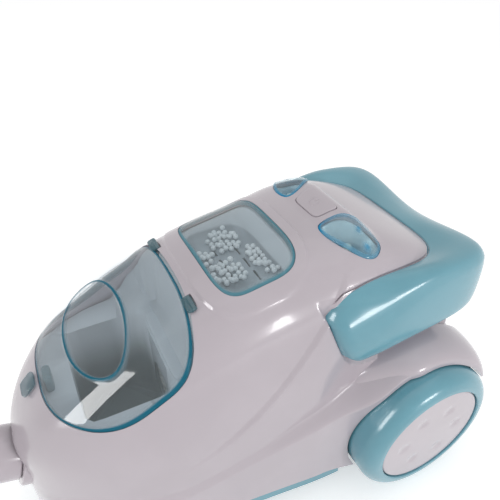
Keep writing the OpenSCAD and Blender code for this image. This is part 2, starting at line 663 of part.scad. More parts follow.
module power_button() {
  color(pale) union() {
    patch(button_outline(0), 4,
          function (p) [p[0], p[1], hood_z(p[0], p[1], 0) + bar(p[0], p[1]) + button_rise],
          function (p) [p[0], p[1], button_foot]);
    translate([0, (button_y0 + button_y1) / 2, button_foot - 3]) cylinder(r = stem_r, h = 4);
  }
}
spring_r = 6;
wire_r = 0.4;
spring_turns = 4;
module button_spring() {
  steps = 14;
  sides = 6;
  count = spring_turns * steps;
  low = board_z + wire_r + seat;
  high = button_foot - wire_r - seat;
  color(steel) translate([0, (button_y0 + button_y1) / 2, 0])
    loft([for (k = [0 : count]) [for (j = [0 : sides - 1])
      let (a = 360 * k / steps, b = -360 * j / sides, r = spring_r + wire_r * cos(b))
      [r * cos(a), r * sin(a), mix(low, high, k / count) + wire_r * sin(b)]]]);
}
module push_switch() {
  color("dimgray") translate([0, (button_y0 + button_y1) / 2, board_z]) {
    translate([-3, -3, 0]) cube([6, 6, 2.2]);
    cylinder(r = 1.75, h = switch_top - board_z);
  }
}
board_t = 1.6;
board_a = 44;
board_y = [55, 99];
module control_board() {
  color([0.2, 0.42, 0.25]) difference() {
    translate([-board_a, board_y[0], board_z - board_t])
      cube([2 * board_a, board_y[1] - board_y[0], board_t]);
    for (p = board_posts) translate([p[0], p[1], board_z - 5]) cylinder(r = screw_r + 0.2, h = 10);
  }
}
module lamp_lens(s) {
  color(clear_blue) patch(turned(lens_outline(s, -seat), s), 4,
    function (p) [p[0], p[1], hood_z(p[0], p[1], 0) + bar(p[0], p[1])],
    function (p) [p[0], p[1], hood_z(p[0], p[1], lens_t) + bar(p[0], p[1])]);
}
module lamp_lens_left() { lamp_lens(1); }
module lamp_lens_right() { lamp_lens(-1); }
led_r = 2.5;
led_h = 7.5;
module lamp_reflector(s) {
  color("silver") translate([s * lens_x, lens_y, board_z + seat]) rotate_extrude()
    polygon([[led_r + 0.6, 0], [5, 0], [7.5, 3], [9.8, 8], [9, 8], [6.8, 3.4], [led_r + 0.6, 0.8]]);
}
module lamp_reflector_left() { lamp_reflector(1); }
module lamp_reflector_right() { lamp_reflector(-1); }
module lamp_leds() {
  color("white") for (s = [-1, 1]) translate([s * lens_x, lens_y, board_z]) {
    cylinder(r = led_r, h = led_h - led_r);
    translate([0, 0, led_h - led_r]) sphere(r = led_r);
  }
}

// A wheel turns on the axle: a round tyre on a web with a hub; the hub cap closes its outer side
web_x = 6;
web_t = 7;
cap_t = 3.2;
cap_seat = tyre_w - 1.2 - cap_t;
tyre_in = cap_r - 4;
edge_r = rim_w - gap - 2;
module on_axle(s) { translate([s * wheel_x, axle_y, axle_z]) rotate([0, s * 90, 0]) children(); }
module wheel(s) {
  color(turquoise) on_axle(s) rotate_extrude($fn = 96) difference() {
    union() {
      translate([tyre_in, 0]) square([tyre_r - edge_r - tyre_in, tyre_w]);
      intersection() {
        translate([tyre_r - edge_r, 0]) square([edge_r, tyre_w]);
        union() {
          translate([tyre_r - edge_r, edge_r]) square([edge_r, tyre_w - 2 * edge_r]);
          for (h = [edge_r, tyre_w - edge_r]) translate([tyre_r - edge_r, h]) circle(r = edge_r);
        }
      }
      translate([axle_r + run, web_x]) square([tyre_in, web_t]);
      translate([axle_r + run, -wheel_gap + 1]) square([6, wheel_gap + web_x]);
    }
    translate([0, cap_seat]) square([cap_r + gap, 20]);
  }
}
module wheel_left() { wheel(1); }
module wheel_right() { wheel(-1); }
dimple_n = 6;
module hub_cap(s) {
  color(pale) on_axle(s) difference() {
    union() {
      translate([0, 0, cap_seat]) rotate_extrude($fn = 96)
        polygon([[0, 0], [cap_r, 0], [cap_r, cap_t - 1], [cap_r - 1, cap_t], [0, cap_t]]);
      translate([0, 0, web_x + web_t]) rotate_extrude()
        translate([tyre_in - 3.2, 0]) square([3, cap_seat - web_x - web_t + 1]);
    }
    for (k = [0 : dimple_n - 1]) rotate([0, 0, 360 * k / dimple_n])
      translate([cap_r * 0.56, 0, cap_seat + cap_t + 8]) sphere(r = 9);
  }
}
module hub_cap_left() { hub_cap(1); }
module hub_cap_right() { hub_cap(-1); }
nut_t = 2;
axle_l = wheel_x + web_x + web_t + gap + nut_t + 1;
module rear_axle() {
  color(steel) translate([-axle_l, axle_y, axle_z]) rotate([0, 90, 0]) cylinder(r = axle_r, h = 2 * axle_l);
}
module axle_nuts() {
  color(steel) for (s = [-1, 1]) on_axle(s) translate([0, 0, web_x + web_t + gap]) difference() {
    cylinder(r = 8, h = nut_t);
    translate([0, 0, -1]) cylinder(r = axle_r + run / 3, h = 5);
  }
}

// The caster swivels in the base's cup and its wheel trails behind the stem
caster_wx = 6;
arm_t = 2.5;
arm_x = caster_wx + 0.5;
fork_z = 2 * caster_r + 2;
pin_r = 2;
module caster_fork() {
  color(grey) difference() {
    translate([0, caster_y, 0]) union() {
      translate([0, 0, fork_z]) cylinder(r = 14, h = 3);
      cylinder_from(8, fork_z + 2, cup_z - gap);
      cylinder_from(caster_stem_r, fork_z + 2, stem_top + 2.6);
      for (s = [-1, 1]) translate([s > 0 ? arm_x : -arm_x - arm_t, 0, 0]) rotate([90, 0, 90])
        linear_extrude(arm_t)
          polygon([[-6, fork_z + 1], [caster_trail - 4.5, caster_r - 3], [caster_trail, caster_r - 5],
                   [caster_trail + 4.5, caster_r - 2], [caster_trail + 3, fork_z + 1]]);
    }
    translate([-20, caster_y + caster_trail, caster_r]) rotate([0, 90, 0])
      cylinder(r = pin_r + run / 3, h = 40);
  }
}
module cylinder_from(r, low, high) { translate([0, 0, low]) cylinder(r = r, h = high - low); }
module caster_wheel() {
  color("dimgray") translate([-caster_wx, caster_y + caster_trail, caster_r]) rotate([0, 90, 0])
    rotate_extrude() polygon([[pin_r + run, 0], [caster_r - 1.5, 0], [caster_r, 1.5],
                              [caster_r, 2 * caster_wx - 1.5], [caster_r - 1.5, 2 * caster_wx],
                              [pin_r + run, 2 * caster_wx]]);
}
module caster_pin() {
  color(steel) translate([-arm_x - arm_t, caster_y + caster_trail, caster_r]) rotate([0, 90, 0])
    cylinder(r = pin_r, h = 2 * (arm_x + arm_t));
}
module caster_clip() {
  color(steel) translate([0, caster_y, stem_top + gap]) difference() {
    cylinder(r = 7, h = 1.6);
    translate([0, 0, -1]) cylinder(r = caster_stem_r + run / 3, h = 4);
  }
}

collar_l = (bin_y - tub_b - bin_t - nose_y - 1 - collar_r * sin(inlet_tilt)) / cos(inlet_tilt) - 1;
lip_t = 1.8;
spigot_l = 14;
module inlet_collar() {
  color(pale) at_inlet() rotate_extrude() polygon([
    [spigot_r + run, 0], [collar_r - 1, 0], [collar_r, -1], [collar_r, -collar_l], [cuff_bore, -collar_l],
    [cuff_bore, -spigot_l - 2], [spigot_r + 1.6, -spigot_l - 2], [spigot_r + 1.6, lip_t + 0.4 - spigot_l],
    [spigot_r + run, lip_t + 0.4 - spigot_l]]);
}
module hose_cuff() {
  color(pale) at_inlet() rotate_extrude() difference() {
    polygon([[cuff_bore, -spigot_l], [spigot_r + 1.2, -spigot_l], [spigot_r + 1.2, lip_t - spigot_l],
             [spigot_r, lip_t - spigot_l], [spigot_r, gap], [cuff_r - 1, gap], [cuff_r, gap + 1],
             [cuff_r, cuff_end - 1], [cuff_r - 1, cuff_end], [cuff_bore, cuff_end]]);
    translate([0, cuff_end - socket_h]) square([socket_r, socket_h + 5]);
  }
}

// The fan blows up through the slotted floor of the bead chamber
fan_y = window_y;
housing_r = fan_r + 5;
housing_z = bead_floor - 55;
housing_t = 2;
motor_l = 32;
shaft_r = 1;
shaft_top = housing_z + 26;
module fan_housing() {
  color(grey) translate([0, fan_y, 0]) difference() {
    cylinder_from(housing_r, housing_z, bead_floor - chamber_t);
    cylinder_from(housing_r - housing_t, housing_z + housing_t, bead_floor - chamber_t - housing_t);
    cylinder_from(window_b - 6, housing_z + 20, bead_floor + 5);
    cylinder_from(4, housing_z - 1, housing_z + 5);
    for (k = [0 : 7]) rotate([0, 0, 45 * k]) translate([22, 0, housing_z - 1]) cylinder(r = 5, h = 5);
  }
}
module fan_impeller() {
  color("white") translate([0, fan_y, 0]) difference() {
    union() {
      cylinder_from(fan_r, housing_z + 8, housing_z + 9.6);
      cylinder_from(5, housing_z + 8, shaft_top - 1);
      for (k = [0 : 7]) rotate([0, 0, 45 * k]) translate([4, -0.8, housing_z + 9]) cube([fan_r - 5, 1.6, 12]);
    }
    cylinder_from(shaft_r + run / 3, housing_z, shaft_top + 5);
  }
}
module motor() {
  color(steel) translate([0, fan_y, 0]) difference() {
    union() {
      cylinder_from(motor_r, housing_z - motor_l, housing_z);
      cylinder_from(3, housing_z - 1, housing_z + 1.5);
    }
    cylinder_from(shaft_r + run, housing_z - motor_l + 3, housing_z + 5);
  }
}
module motor_shaft() {
  color(steel) translate([0, fan_y, 0]) cylinder_from(shaft_r, housing_z - motor_l + 3.5, shaft_top);
}

case_x = cover_x + case_gap;
case_z = base_z + base_t + 2 * cell_r + 2;
module battery_case() {
  y0 = cover_y[0] - case_gap;
  y1 = cover_y[1] + case_gap;
  color("dimgray") difference() {
    translate([-case_x - case_t, y0 - case_t, base_z + base_t])
      cube([2 * (case_x + case_t), y1 - y0 + 2 * case_t, case_z + case_t - base_z - base_t]);
    translate([-case_x, y0, base_z]) cube([2 * case_x, y1 - y0, case_z - base_z]);
  }
}
cell_z = base_z + base_t + cell_r;
module battery_cells() {
  color("darkseagreen") for (y = cell_y) translate([-cell_l / 2, y, cell_z]) rotate([0, 90, 0]) union() {
    cylinder(r = cell_r, h = cell_l - 1.5);
    cylinder(r = 2.7, h = cell_l);
  }
}
plate_t = 0.6;
module battery_contacts() {
  color(steel) for (s = [-1, 1], y = cell_y) translate([s * (case_x - plate_t / 2), y, cell_z]) {
    cube([plate_t, 10, 11], center = true);
    rotate([0, -s * 90, 0]) cylinder(r1 = 4, r2 = 2, h = case_x - plate_t / 2 - cell_l / 2 - 0.1);
  }
}
tab_a = 6;
tab_l = cover_post_y - cover_y[1] + 4;
module battery_cover() {
  color(turquoise) difference() {
    translate([0, 0, base_z]) {
      translate([-cover_x, cover_y[0], 0]) cube([2 * cover_x, cover_y[1] - cover_y[0], base_t - seat]);
      translate([-tab_a, cover_y[1] - 1, 0]) cube([2 * tab_a, tab_l + 1, 1.4]);
    }
    for (x = [-20 : 10 : 20]) translate([x - 1, cover_y[0] + 12, base_z - 1]) cube([2, 36, 1.6]);
    translate([0, cover_post_y, base_z - 1]) cylinder(r = screw_r + 0.2, h = 5);
  }
}
module screw(l) {
  cylinder(r = screw_head_r, h = 1.8);
  cylinder(r = screw_r, h = l);
}
module base_screws() {
  color(steel) for (p = base_posts) translate([p[0], p[1], base_z + 3]) screw(foot_z - base_z + 12);
}
module board_screws() {
  color(steel) for (p = board_posts) translate([p[0], p[1], board_z - board_t - 1.8]) screw(8);
}
module cover_screw() {
  color(steel) translate([0, cover_post_y, base_z - 1.8]) screw(9);
}

upper_shell();
base_tray();
rear_bumper();
dust_lid();
hinge_pins();
dust_bin();
dust_filter();
bead_window();
bead_chamber();
foam_beads();
power_button();
button_spring();
push_switch();
control_board();
lamp_lens_left();
lamp_lens_right();
lamp_reflector_left();
lamp_reflector_right();
lamp_leds();
wheel_left();
wheel_right();
hub_cap_left();
hub_cap_right();
rear_axle();
axle_nuts();
caster_fork();
caster_wheel();
caster_pin();
caster_clip();
inlet_collar();
hose_cuff();
fan_housing();
fan_impeller();
motor();
motor_shaft();
battery_case();
battery_cells();
battery_contacts();
battery_cover();
base_screws();
board_screws();
cover_screw();
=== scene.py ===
import json

import bmesh
import bpy
import numpy as np
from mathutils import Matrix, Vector

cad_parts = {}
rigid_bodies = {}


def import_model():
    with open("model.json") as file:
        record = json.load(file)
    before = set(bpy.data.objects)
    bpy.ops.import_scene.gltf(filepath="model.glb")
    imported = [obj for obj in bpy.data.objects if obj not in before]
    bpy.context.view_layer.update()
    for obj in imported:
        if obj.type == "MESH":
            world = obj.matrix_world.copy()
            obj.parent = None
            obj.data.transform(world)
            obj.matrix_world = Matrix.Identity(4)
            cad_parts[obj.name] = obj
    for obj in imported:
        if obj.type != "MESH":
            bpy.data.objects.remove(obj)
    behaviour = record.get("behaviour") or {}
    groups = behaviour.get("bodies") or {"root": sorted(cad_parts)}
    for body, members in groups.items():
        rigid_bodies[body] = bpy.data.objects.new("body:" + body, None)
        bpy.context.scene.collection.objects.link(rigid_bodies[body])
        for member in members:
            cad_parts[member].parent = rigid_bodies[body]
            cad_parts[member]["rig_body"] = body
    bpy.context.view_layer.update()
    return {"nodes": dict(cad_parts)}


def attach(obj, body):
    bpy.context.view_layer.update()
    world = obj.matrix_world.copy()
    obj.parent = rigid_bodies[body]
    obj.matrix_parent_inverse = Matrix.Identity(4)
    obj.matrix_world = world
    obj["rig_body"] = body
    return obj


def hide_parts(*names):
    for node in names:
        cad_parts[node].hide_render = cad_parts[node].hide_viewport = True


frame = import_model()

# Base tray: the turquoise floor pan that shows as a strip under the body. One injection-moulded
# piece with a caster cup, axle posts and a battery bay, held to the body by six screws.
MM = 0.001


def srgb(red, green, blue):
    """Linear colour of an 8-bit sRGB colour."""
    c = np.array([red, green, blue]) / 255
    linear = np.where(c <= 0.04045, c / 12.92, ((c + 0.055) / 1.055) ** 2.4)
    return (*linear, 1.0)


class Tone:
    """What a shader node gives out. Arithmetic adds Math nodes, node() adds any other node."""

    def __init__(self, tree, socket=None):
        self.tree = tree
        self.socket = socket

    def node(self, kind, settings=None, inputs=None, out=0):
        """Any shader node: its properties, its inputs as tones or constants, and one output."""
        made = self.tree.nodes.new("ShaderNode" + kind)
        for name, value in (settings or {}).items():
            setattr(made, name, value)
        for name, value in (inputs or {}).items():
            if isinstance(value, Tone):
                self.tree.links.new(value.socket, made.inputs[name])
            else:
                made.inputs[name].default_value = value
        return Tone(self.tree, made.outputs[out])

    def math(self, operation, first, second=0.0):
        return self.node("Math", {"operation": operation}, {0: first, 1: second})

    def __add__(self, other):
        return self.math("ADD", self, other)

    def __sub__(self, other):
        return self.math("SUBTRACT", self, other)

    def __rsub__(self, other):
        return self.math("SUBTRACT", other, self)

    def __mul__(self, other):
        return self.math("MULTIPLY", self, other)

    __radd__ = __add__
    __rmul__ = __mul__

    def between(self, low, high):
        """The colour that lies this far from low to high."""
        return self.node("Mix", {"data_type": "RGBA"}, {0: self, 6: low, 7: high}, out=2)

    def noise(self, place, scale, detail=2.0):
        return self.node("TexNoise", None, {"Vector": place, "Scale": scale, "Detail": detail})

    def step(self, low, high):
        """0 below low, 1 above high and a smooth rise between them."""
        return self.node("MapRange", {"interpolation_type": "SMOOTHSTEP"},
                         {"Value": self, "From Min": low, "From Max": high})

    def feed(self, shader, socket):
        self.tree.links.new(self.socket, shader.inputs[socket])


def new_finish(name):
    """A material with its Principled shader and the piece's own coordinates in metres."""
    material = bpy.data.materials.new(name)
    material.use_nodes = True
    tree = material.node_tree
    return material, tree.nodes["Principled BSDF"], Tone(tree).node("TexCoord", out="Object")


def plastic(name, shade, light, roughness, ripple=0.02, coat=0.0, metallic=0.0, speckle=900.0):
    """Moulded plastic: its colour clouds between two near tones over some centimetres, its gloss
    varies with the flow of the melt, and a fine ripple stands on its surface."""
    material, shader, place = new_finish(name)
    cloud = place.noise(place, 22.0, 3.0)
    cloud.step(0.35, 0.65).between(shade, light).feed(shader, "Base Color")
    flow = place.noise(place, 160.0, 4.0)
    (roughness * 0.8 + flow * (roughness * 0.4)).feed(shader, "Roughness")
    height = place.noise(place, speckle, 2.0)
    bump = place.node("Bump", None, {"Strength": ripple, "Distance": 0.5 * MM, "Height": height})
    bump.feed(shader, "Normal")
    shader.inputs["Metallic"].default_value = metallic
    shader.inputs["Coat Weight"].default_value = coat
    shader.inputs["Coat Roughness"].default_value = 0.06
    return material


def smooth(mesh, angle=32.0):
    """Smooth shading that keeps edges sharper than the angle."""
    mesh.shade_smooth()
    mesh.set_sharp_from_angle(angle=np.radians(angle))


def piece_of(mesh, material, body, slot, *nodes, angle=32.0):
    """Puts a finished mesh into the scene, on its body and in place of its CAD nodes."""
    smooth(mesh, angle)
    mesh.materials.clear()
    mesh.materials.append(material)
    piece = bpy.data.objects.new(mesh.name, mesh)
    bpy.context.scene.collection.objects.link(piece)
    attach(piece, body)
    if nodes:
        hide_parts(*nodes)
    return piece


def welded(source, mesh, apart):
    """Fills the mesh with the source's faces, their points joined where they lie closer than apart."""
    work = bmesh.new()
    work.from_mesh(source)
    bmesh.ops.remove_doubles(work, verts=work.verts, dist=apart)
    work.to_mesh(mesh)
    work.free()
    return mesh


def rounded_copy(node, material, slot, angle=32.0):
    """A merged, smooth-shaded copy of a CAD node stands for it and rides on its body."""
    source = frame["nodes"][node]
    mesh = welded(source.data, bpy.data.meshes.new(node + "_skin"), 2e-6)
    piece_of(mesh, material, source["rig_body"], slot, node, angle=angle)


turquoise = plastic("turquoise_gloss", srgb(104, 162, 178), srgb(110, 168, 184), 0.22, coat=0.3)
rounded_copy("base_tray", turquoise, "turquoise", 18)
rounded_copy("battery_cover", turquoise, "turquoise")

# Screws, axle, pins and clips: bright zinc-plated steel with fine turning marks, pushed or screwed
# into the base and the body. The inner electric pieces keep their solids and get their finishes.


def metal(name, tone, roughness):
    """Plated steel: fine turning marks in the gloss and slight clouding of the plating."""
    material, shader, place = new_finish(name)
    marks = place.node("TexWave", {"wave_type": "RINGS"},
                       {"Vector": place, "Scale": 900.0, "Distortion": 3.0}, out=1)
    (roughness + marks * 0.12).feed(shader, "Roughness")
    dull = tuple(0.8 * c for c in tone[:3]) + (1.0,)
    place.noise(place, 120.0, 3.0).between(dull, tone).feed(shader, "Base Color")
    shader.inputs["Metallic"].default_value = 1.0
    return material


def dress(material, *nodes):
    """Gives CAD nodes a finish without touching their meshes."""
    for node in nodes:
        slots = frame["nodes"][node].data.materials
        slots.clear()
        slots.append(material)


steel = metal("plated_steel", srgb(200, 202, 206), 0.25)
dress(steel, "hinge_pins", "button_spring", "axle_nuts", "caster_pin", "caster_clip", "base_screws",
      "board_screws", "cover_screw", "rear_axle", "motor_shaft", "battery_contacts", "motor")
dark = plastic("dark_plastic", srgb(58, 60, 63), srgb(66, 68, 71), 0.45, ripple=0.08)
dress(dark, "push_switch", "battery_case")
fan_grey = plastic("fan_grey", srgb(140, 146, 145), srgb(152, 158, 157), 0.4, ripple=0.05)
dress(fan_grey, "fan_housing", "caster_fork")
filter_white = plastic("filter_white", srgb(216, 218, 216), srgb(228, 229, 226), 0.6, ripple=0.15)
dress(filter_white, "dust_filter", "fan_impeller")
cell_green = plastic("cell_jacket", srgb(120, 150, 118), srgb(140, 168, 136), 0.35)
dress(cell_green, "battery_cells")
board_green = plastic("board_green", srgb(38, 92, 58), srgb(52, 108, 70), 0.35, ripple=0.1, speckle=400.0)
dress(board_green, "control_board")
rounded_copy("caster_wheel", dark, "dark_plastic")

# Wheels: a turquoise ring moulded round a web, free on the steel axle. A pale cap with six shallow
# finger dimples clips into the outer face and leaves a fine dark gap line round it.
tyre_r, tyre_w, shoulder_r, inner_r = 53.0, 26.0, 11.0, 3.0
cap_r, cap_recess, cap_t = 40.6, 1.2, 3.2
wheel_x, axle_y, axle_z = 74.5, 116.0, 53.0


def ring_mesh(name, rings, loop=False, **marks):
    """Closed mesh through rings of points in mm (rows x around x 3). Neighbouring rings are joined
    by quads; the end rings are closed by fans to their middles, or the last joins the first."""
    rows, count = rings.shape[:2]
    index = np.arange(rows * count).reshape(rows, count)
    first = index if loop else index[:-1]
    second = np.roll(index, -1, 0) if loop else index[1:]
    quads = np.stack([first, np.roll(first, -1, 1), np.roll(second, -1, 1), second], -1).reshape(-1, 4)
    points = rings.reshape(-1, 3)
    fans = np.zeros((0, 3), int)
    if not loop:
        points = np.vstack([points, rings[0].mean(0), rings[-1].mean(0)])
        start, end = index[0], index[-1]
        fans = np.vstack([np.stack([np.roll(start, -1), start, np.full(count, len(points) - 2)], -1),
                          np.stack([end, np.roll(end, -1), np.full(count, len(points) - 1)], -1)])
    corners = np.vstack([quads[:, [0, 1, 2]], quads[:, [0, 2, 3]], fans])
    a, b, c = (points[corners[:, k]] for k in range(3))
    mesh = bpy.data.meshes.new(name)
    mesh.from_pydata((points * MM).tolist(), [], quads.tolist() + fans.tolist())
    if np.einsum("ij,ij->", a, np.cross(b, c)) < 0:
        mesh.flip_normals()
    for mark, values in marks.items():
        flat = np.append(values.reshape(-1), [] if loop else [values[0].mean(), values[-1].mean()])
        mesh.attributes.new(mark, "FLOAT", "POINT").data.foreach_set("value", flat.astype(np.float32))
    return mesh


def turned(profile, steps, place):
    """A profile of (radius, height) points turned about an axis, put in place by a function of
    x, y across the axis and height along it."""
    angle = np.linspace(0, 2 * np.pi, steps, endpoint=False)
    radius, height = profile[:, :1], profile[:, 1:]
    return place(radius * np.cos(angle), radius * np.sin(angle), height + 0 * angle)


def arc(cx, cy, radius, start, end, steps):
    """Points of an arc, angles in degrees."""
    t = np.radians(np.linspace(start, end, steps))
    return np.stack([cx + radius * np.cos(t), cy + radius * np.sin(t)], -1)


def on_axle(side):
    """Places a point by its two distances across the axle and its height out along it."""
    def place(a, b, h):
        return np.stack([side * (wheel_x + h), axle_y + a, axle_z + b], -1)
    return place


cap_gap, cap_seat, cap_round = 0.45, 6.0, 1.2
rim_r, hub_r, bore_r, web_in, web_out, hub_end = 36.6, 9.0, 3.1, 6.0, 13.0, -5.5
tyre_section = np.vstack([
    arc(tyre_r - inner_r, inner_r, inner_r, -90, 0, 8),
    arc(tyre_r - shoulder_r, tyre_w - shoulder_r, shoulder_r, 0, 82, 16),
    [[cap_r + cap_gap + 0.6, tyre_w - 0.05], [cap_r + cap_gap, tyre_w - 0.7],
     [cap_r + cap_gap, tyre_w - cap_seat], [rim_r, tyre_w - cap_seat], [rim_r, web_out],
     [bore_r, web_out], [bore_r, hub_end], [hub_r, hub_end], [hub_r, web_in], [rim_r, web_in],
     [rim_r, 0.6], [rim_r + 0.6, 0.0]]])
pale = plastic("pale_gloss", srgb(193, 184, 191), srgb(197, 188, 195), 0.17, coat=0.35)
dimple_n, dimple_at, dimple_r, dimple_deep = 6, 0.56, 6.4, 0.75


def bow(t, n):
    """Quarter of a superellipse: 1 at t = 0 falling to 0 at t = 1."""
    return np.clip(1 - np.clip(t, 0, 1) ** n, 0, 1) ** (1 / n)


def cap_rings(side):
    """Disc on a polar grid: nearly flat, rounded at its rim, with round dimples sunk into it by a
    raised cosine, then turned under at the rim to a flat back."""
    turn = np.linspace(0, 2 * np.pi, 180, endpoint=False)
    flat_r = cap_r - cap_round
    radius = np.concatenate([np.linspace(0.4, flat_r, 60), arc(flat_r, 0, cap_round, 80, 10, 6)[:, 0]])
    rim = cap_t - cap_round * (1 - bow((radius - flat_r).clip(0) / cap_round, 2))
    sector = (turn + np.pi / dimple_n) % (2 * np.pi / dimple_n) - np.pi / dimple_n
    r = radius[:, None]
    apart = np.hypot(r * np.cos(sector) - dimple_at * cap_r, r * np.sin(sector))
    dip = dimple_deep * 0.5 * (1 + np.cos(np.pi * np.clip(apart / dimple_r, 0, 1)))
    height = tyre_w - cap_recess - cap_t + rim[:, None] - dip
    back = np.array([cap_r, 0.4])
    r = np.vstack([r, back[:, None]])
    height = np.vstack([height, np.full((2, len(turn)), tyre_w - cap_recess - cap_t)])
    return on_axle(side)(r * np.cos(turn), r * np.sin(turn), height)


for side, hand in ((1, "left"), (-1, "right")):
    tyre = ring_mesh("tyre_" + hand, turned(tyre_section, 160, on_axle(side)), loop=True)
    piece_of(tyre, turquoise, hand + "_wheel", "turquoise", "wheel_" + hand)
    cap = ring_mesh("cap_" + hand, cap_rings(side))
    piece_of(cap, pale, hand + "_wheel", "pale_gloss", "hub_cap_" + hand)

# Dust bin: a grey moulded bowl under the clear lid, with a flat shelf round a deep square tub.
# It is dropped into the body; dull fine-sparked walls inside.


def ease(a, b, t):
    """Smooth step from 0 at a to 1 at b."""
    k = np.clip((t - a) / (b - a), 0, 1)
    return k * k * (3 - 2 * k)


def mix(a, b, k):
    """The value that lies the share k of the way from a to b."""
    return a + (b - a) * k


def around(a, front, rear, n, steps):
    """Superellipse outline with its own reach to the front and to the rear."""
    t = np.linspace(0, 2 * np.pi, steps, endpoint=False)
    b = np.where(np.sin(t) < 0, front, rear)
    r = ((np.abs(np.cos(t)) / a) ** n + (np.abs(np.sin(t)) / b) ** n) ** (-1 / n)
    return np.stack([r * np.cos(t), r * np.sin(t)], -1)


def grey_darker_below(name, low_z, high_z, low, high, roughness):
    """Sparked grey plastic whose colour deepens from one height in metres down to another."""
    material, shader, place = new_finish(name)
    axes = place.node("SeparateXYZ", None, {"Vector": place}, out="Z")
    cloud = place.noise(place, 30.0, 3.0)
    (axes + cloud * 0.004).step(low_z, high_z).between(low, high).feed(shader, "Base Color")
    (roughness * 0.85 + cloud * (roughness * 0.3)).feed(shader, "Roughness")
    grain = place.noise(place, 1400.0, 2.0)
    bump = place.node("Bump", None, {"Strength": 0.06, "Distance": 0.5 * MM, "Height": grain})
    bump.feed(shader, "Normal")
    return material


# The bin's grey darkens from 115 mm down to 75 mm: painted shade for the shade deep inside its tub.
bin_grey_painted_shade = grey_darker_below("bin_grey_painted_shade", 0.075, 0.115, srgb(112, 123, 123), srgb(206, 211, 216), 0.6)
rounded_copy("dust_bin", bin_grey_painted_shade, "grey_plastic", 20)
shelf_half, shelf_w, shelf_h, shelf_y, shelf_z = 31.5, 4.4, 1.5, -34.5, 121.6


def block(a, b, c, place, ridge=0.0, waves=3.5):
    """Rounded block with half sizes a, b, c: superellipse sections b by c, strung along a and drawn
    in at both ends. Ridges, if any, lie across it as waves of its thickness."""
    s = np.sin(np.linspace(-np.pi / 2, np.pi / 2, 41))[:, None]
    section = around(1, 1, 1, 4, 32)
    close = bow(np.abs(s), 6)
    thick = c * (1 + ridge * np.cos(2 * np.pi * waves * s))
    return place(a * s + 0 * section[:, 0], b * close * section[:, 0], thick * close * section[:, 1])


shelf_bar = block(shelf_half, shelf_w, shelf_h, lambda p, q, r: np.stack([p, shelf_y + q, shelf_z + r], -1))
piece_of(ring_mesh("bin_bar", shelf_bar), bin_grey_painted_shade, "body", "grey_plastic", angle=60)

# Body: the glossy pale upper half, one thin moulding. A half ellipse at the nose grows into a
# squared tail; two creases run along each side, and the lower one becomes the wheel's fender.
waist, waist_z, foot_z = 66.0, 85.0, 25.0
crown_y, crown_z, nose_y, tail_y, widest_y = 61.0, 194.0, -135.0, 162.0, -39.0
front_n, rear_n, fall_l, ledge_y, ledge_z = 1.75, 1.6, 160.0, 149.0, 124.0
plan_n, nose_n, tail_n, wall = 9, 3.2, 6.2, 2.5


def half_w(y):
    """Half width of the plan: a half ellipse in front of its widest place, a squared curve behind."""
    return waist * np.where(y < widest_y, bow((widest_y - y) / (widest_y - nose_y), 2),
                            bow((y - widest_y) / (tail_y - widest_y), plan_n))


def top_z(y, inset=0.0):
    """Roof line: it swells to the crown, falls to the rear and drops to a ledge under the bumper."""
    rise = bow((crown_y - y) / (crown_y - nose_y), front_n)
    fall = bow((y - crown_y) / fall_l, rear_n)
    roof = waist_z + (crown_z - waist_z) * np.where(y < crown_y, rise, fall)
    return mix(roof, ledge_z, ease(-2, 2, y + inset - ledge_y)) - inset


def sect_n(y):
    """Squareness of the cross-section, which grows towards the tail."""
    return mix(nose_n, tail_n, ease(20, 120, y))


def hood_z(x, y, inset=0.0):
    """Height of the plain roof: a superellipse across the width at each place along it."""
    half = np.maximum(0.5, half_w(y) - inset)
    return waist_z + (top_z(y, inset) - waist_z) * bow(np.abs(x) / half, sect_n(y))


bar_h, bar_ramp, bar_fall, bar_fade = 8.0, (60, 82), (83, 96), (16, 50)


def bar(x, y):
    """Raised bar for the button and the lamps: a ramp towards the rear that fades to both sides."""
    return bar_h * ease(*bar_ramp, y) * (1 - ease(*bar_fall, y)) * (1 - ease(*bar_fade, np.abs(x)))


pad_y, pad_a, pad_b, pad_n, pad_h, pad_step = 14.0, 50.3, 35.0, 3.6, 1.2, 0.965


def pad(x, y):
    """Low plateau round the bead window, a superellipse with a rounded step at its edge."""
    far = ((np.abs(x) / pad_a) ** pad_n + (np.abs(y - pad_y) / pad_b) ** pad_n) ** (1 / pad_n)
    return pad_h * (1 - ease(pad_step, 1.0, far))


low_y, upper_z, upper_nose, upper_tail = -52.0, 86.0, 14.0, 74.0
lower_z, lower_rise, fender_r, step_x = 66.0, 53.0, 66.0, 2.5
pocket_y, pocket_z, pocket_deep, pocket_round, slant_z, slant = 44.0, 114.0, 3.3, 8.0, 161.6, 0.362


def crease_z(y):
    """Upper crease: from its lowest place it climbs a little to the nose and steeply to the rear."""
    to_nose = upper_nose * ((low_y - y) / 83).clip(0) ** 2
    to_tail = upper_tail * ((y - low_y) / 95).clip(0) ** 1.7
    return upper_z + np.where(y < low_y, to_nose, to_tail)


def crest_z(y):
    """Lower crease: a slow rise that passes into a circle about the axle."""
    rise = lower_z + lower_rise * ((y - low_y).clip(0) / 168) ** 1.35
    round_z = axle_z + np.sqrt((fender_r ** 2 - (y - axle_y) ** 2).clip(0))
    return mix(rise, round_z, ease(60, 95, y))


def skirt_x(y):
    """Half width under the lower crease: it widens in three sweeps and closes at the tail."""
    swell = 2 + 7 * ease(-20, 64, y) + 9 * ease(45, 85, y) + 3 * ease(85, 150, y)
    return np.where(y < widest_y, half_w(y), waist) + swell * bow((y - 150) / 12, 2.4)


def terrace(y, z):
    """How far the side stands out: a low step under the upper crease, and the skirt and fender
    under the lower one."""
    low = crease_z(y)
    crest = crest_z(y)
    return (step_x * ease(-60, 10, y) * (1 - ease(40, 75, y)) * (1 - ease(low - 5, low, z))
            + (skirt_x(y) - half_w(y)) * ease(-135, -105, y) * (1 - ease(crest - 9, crest, z)))


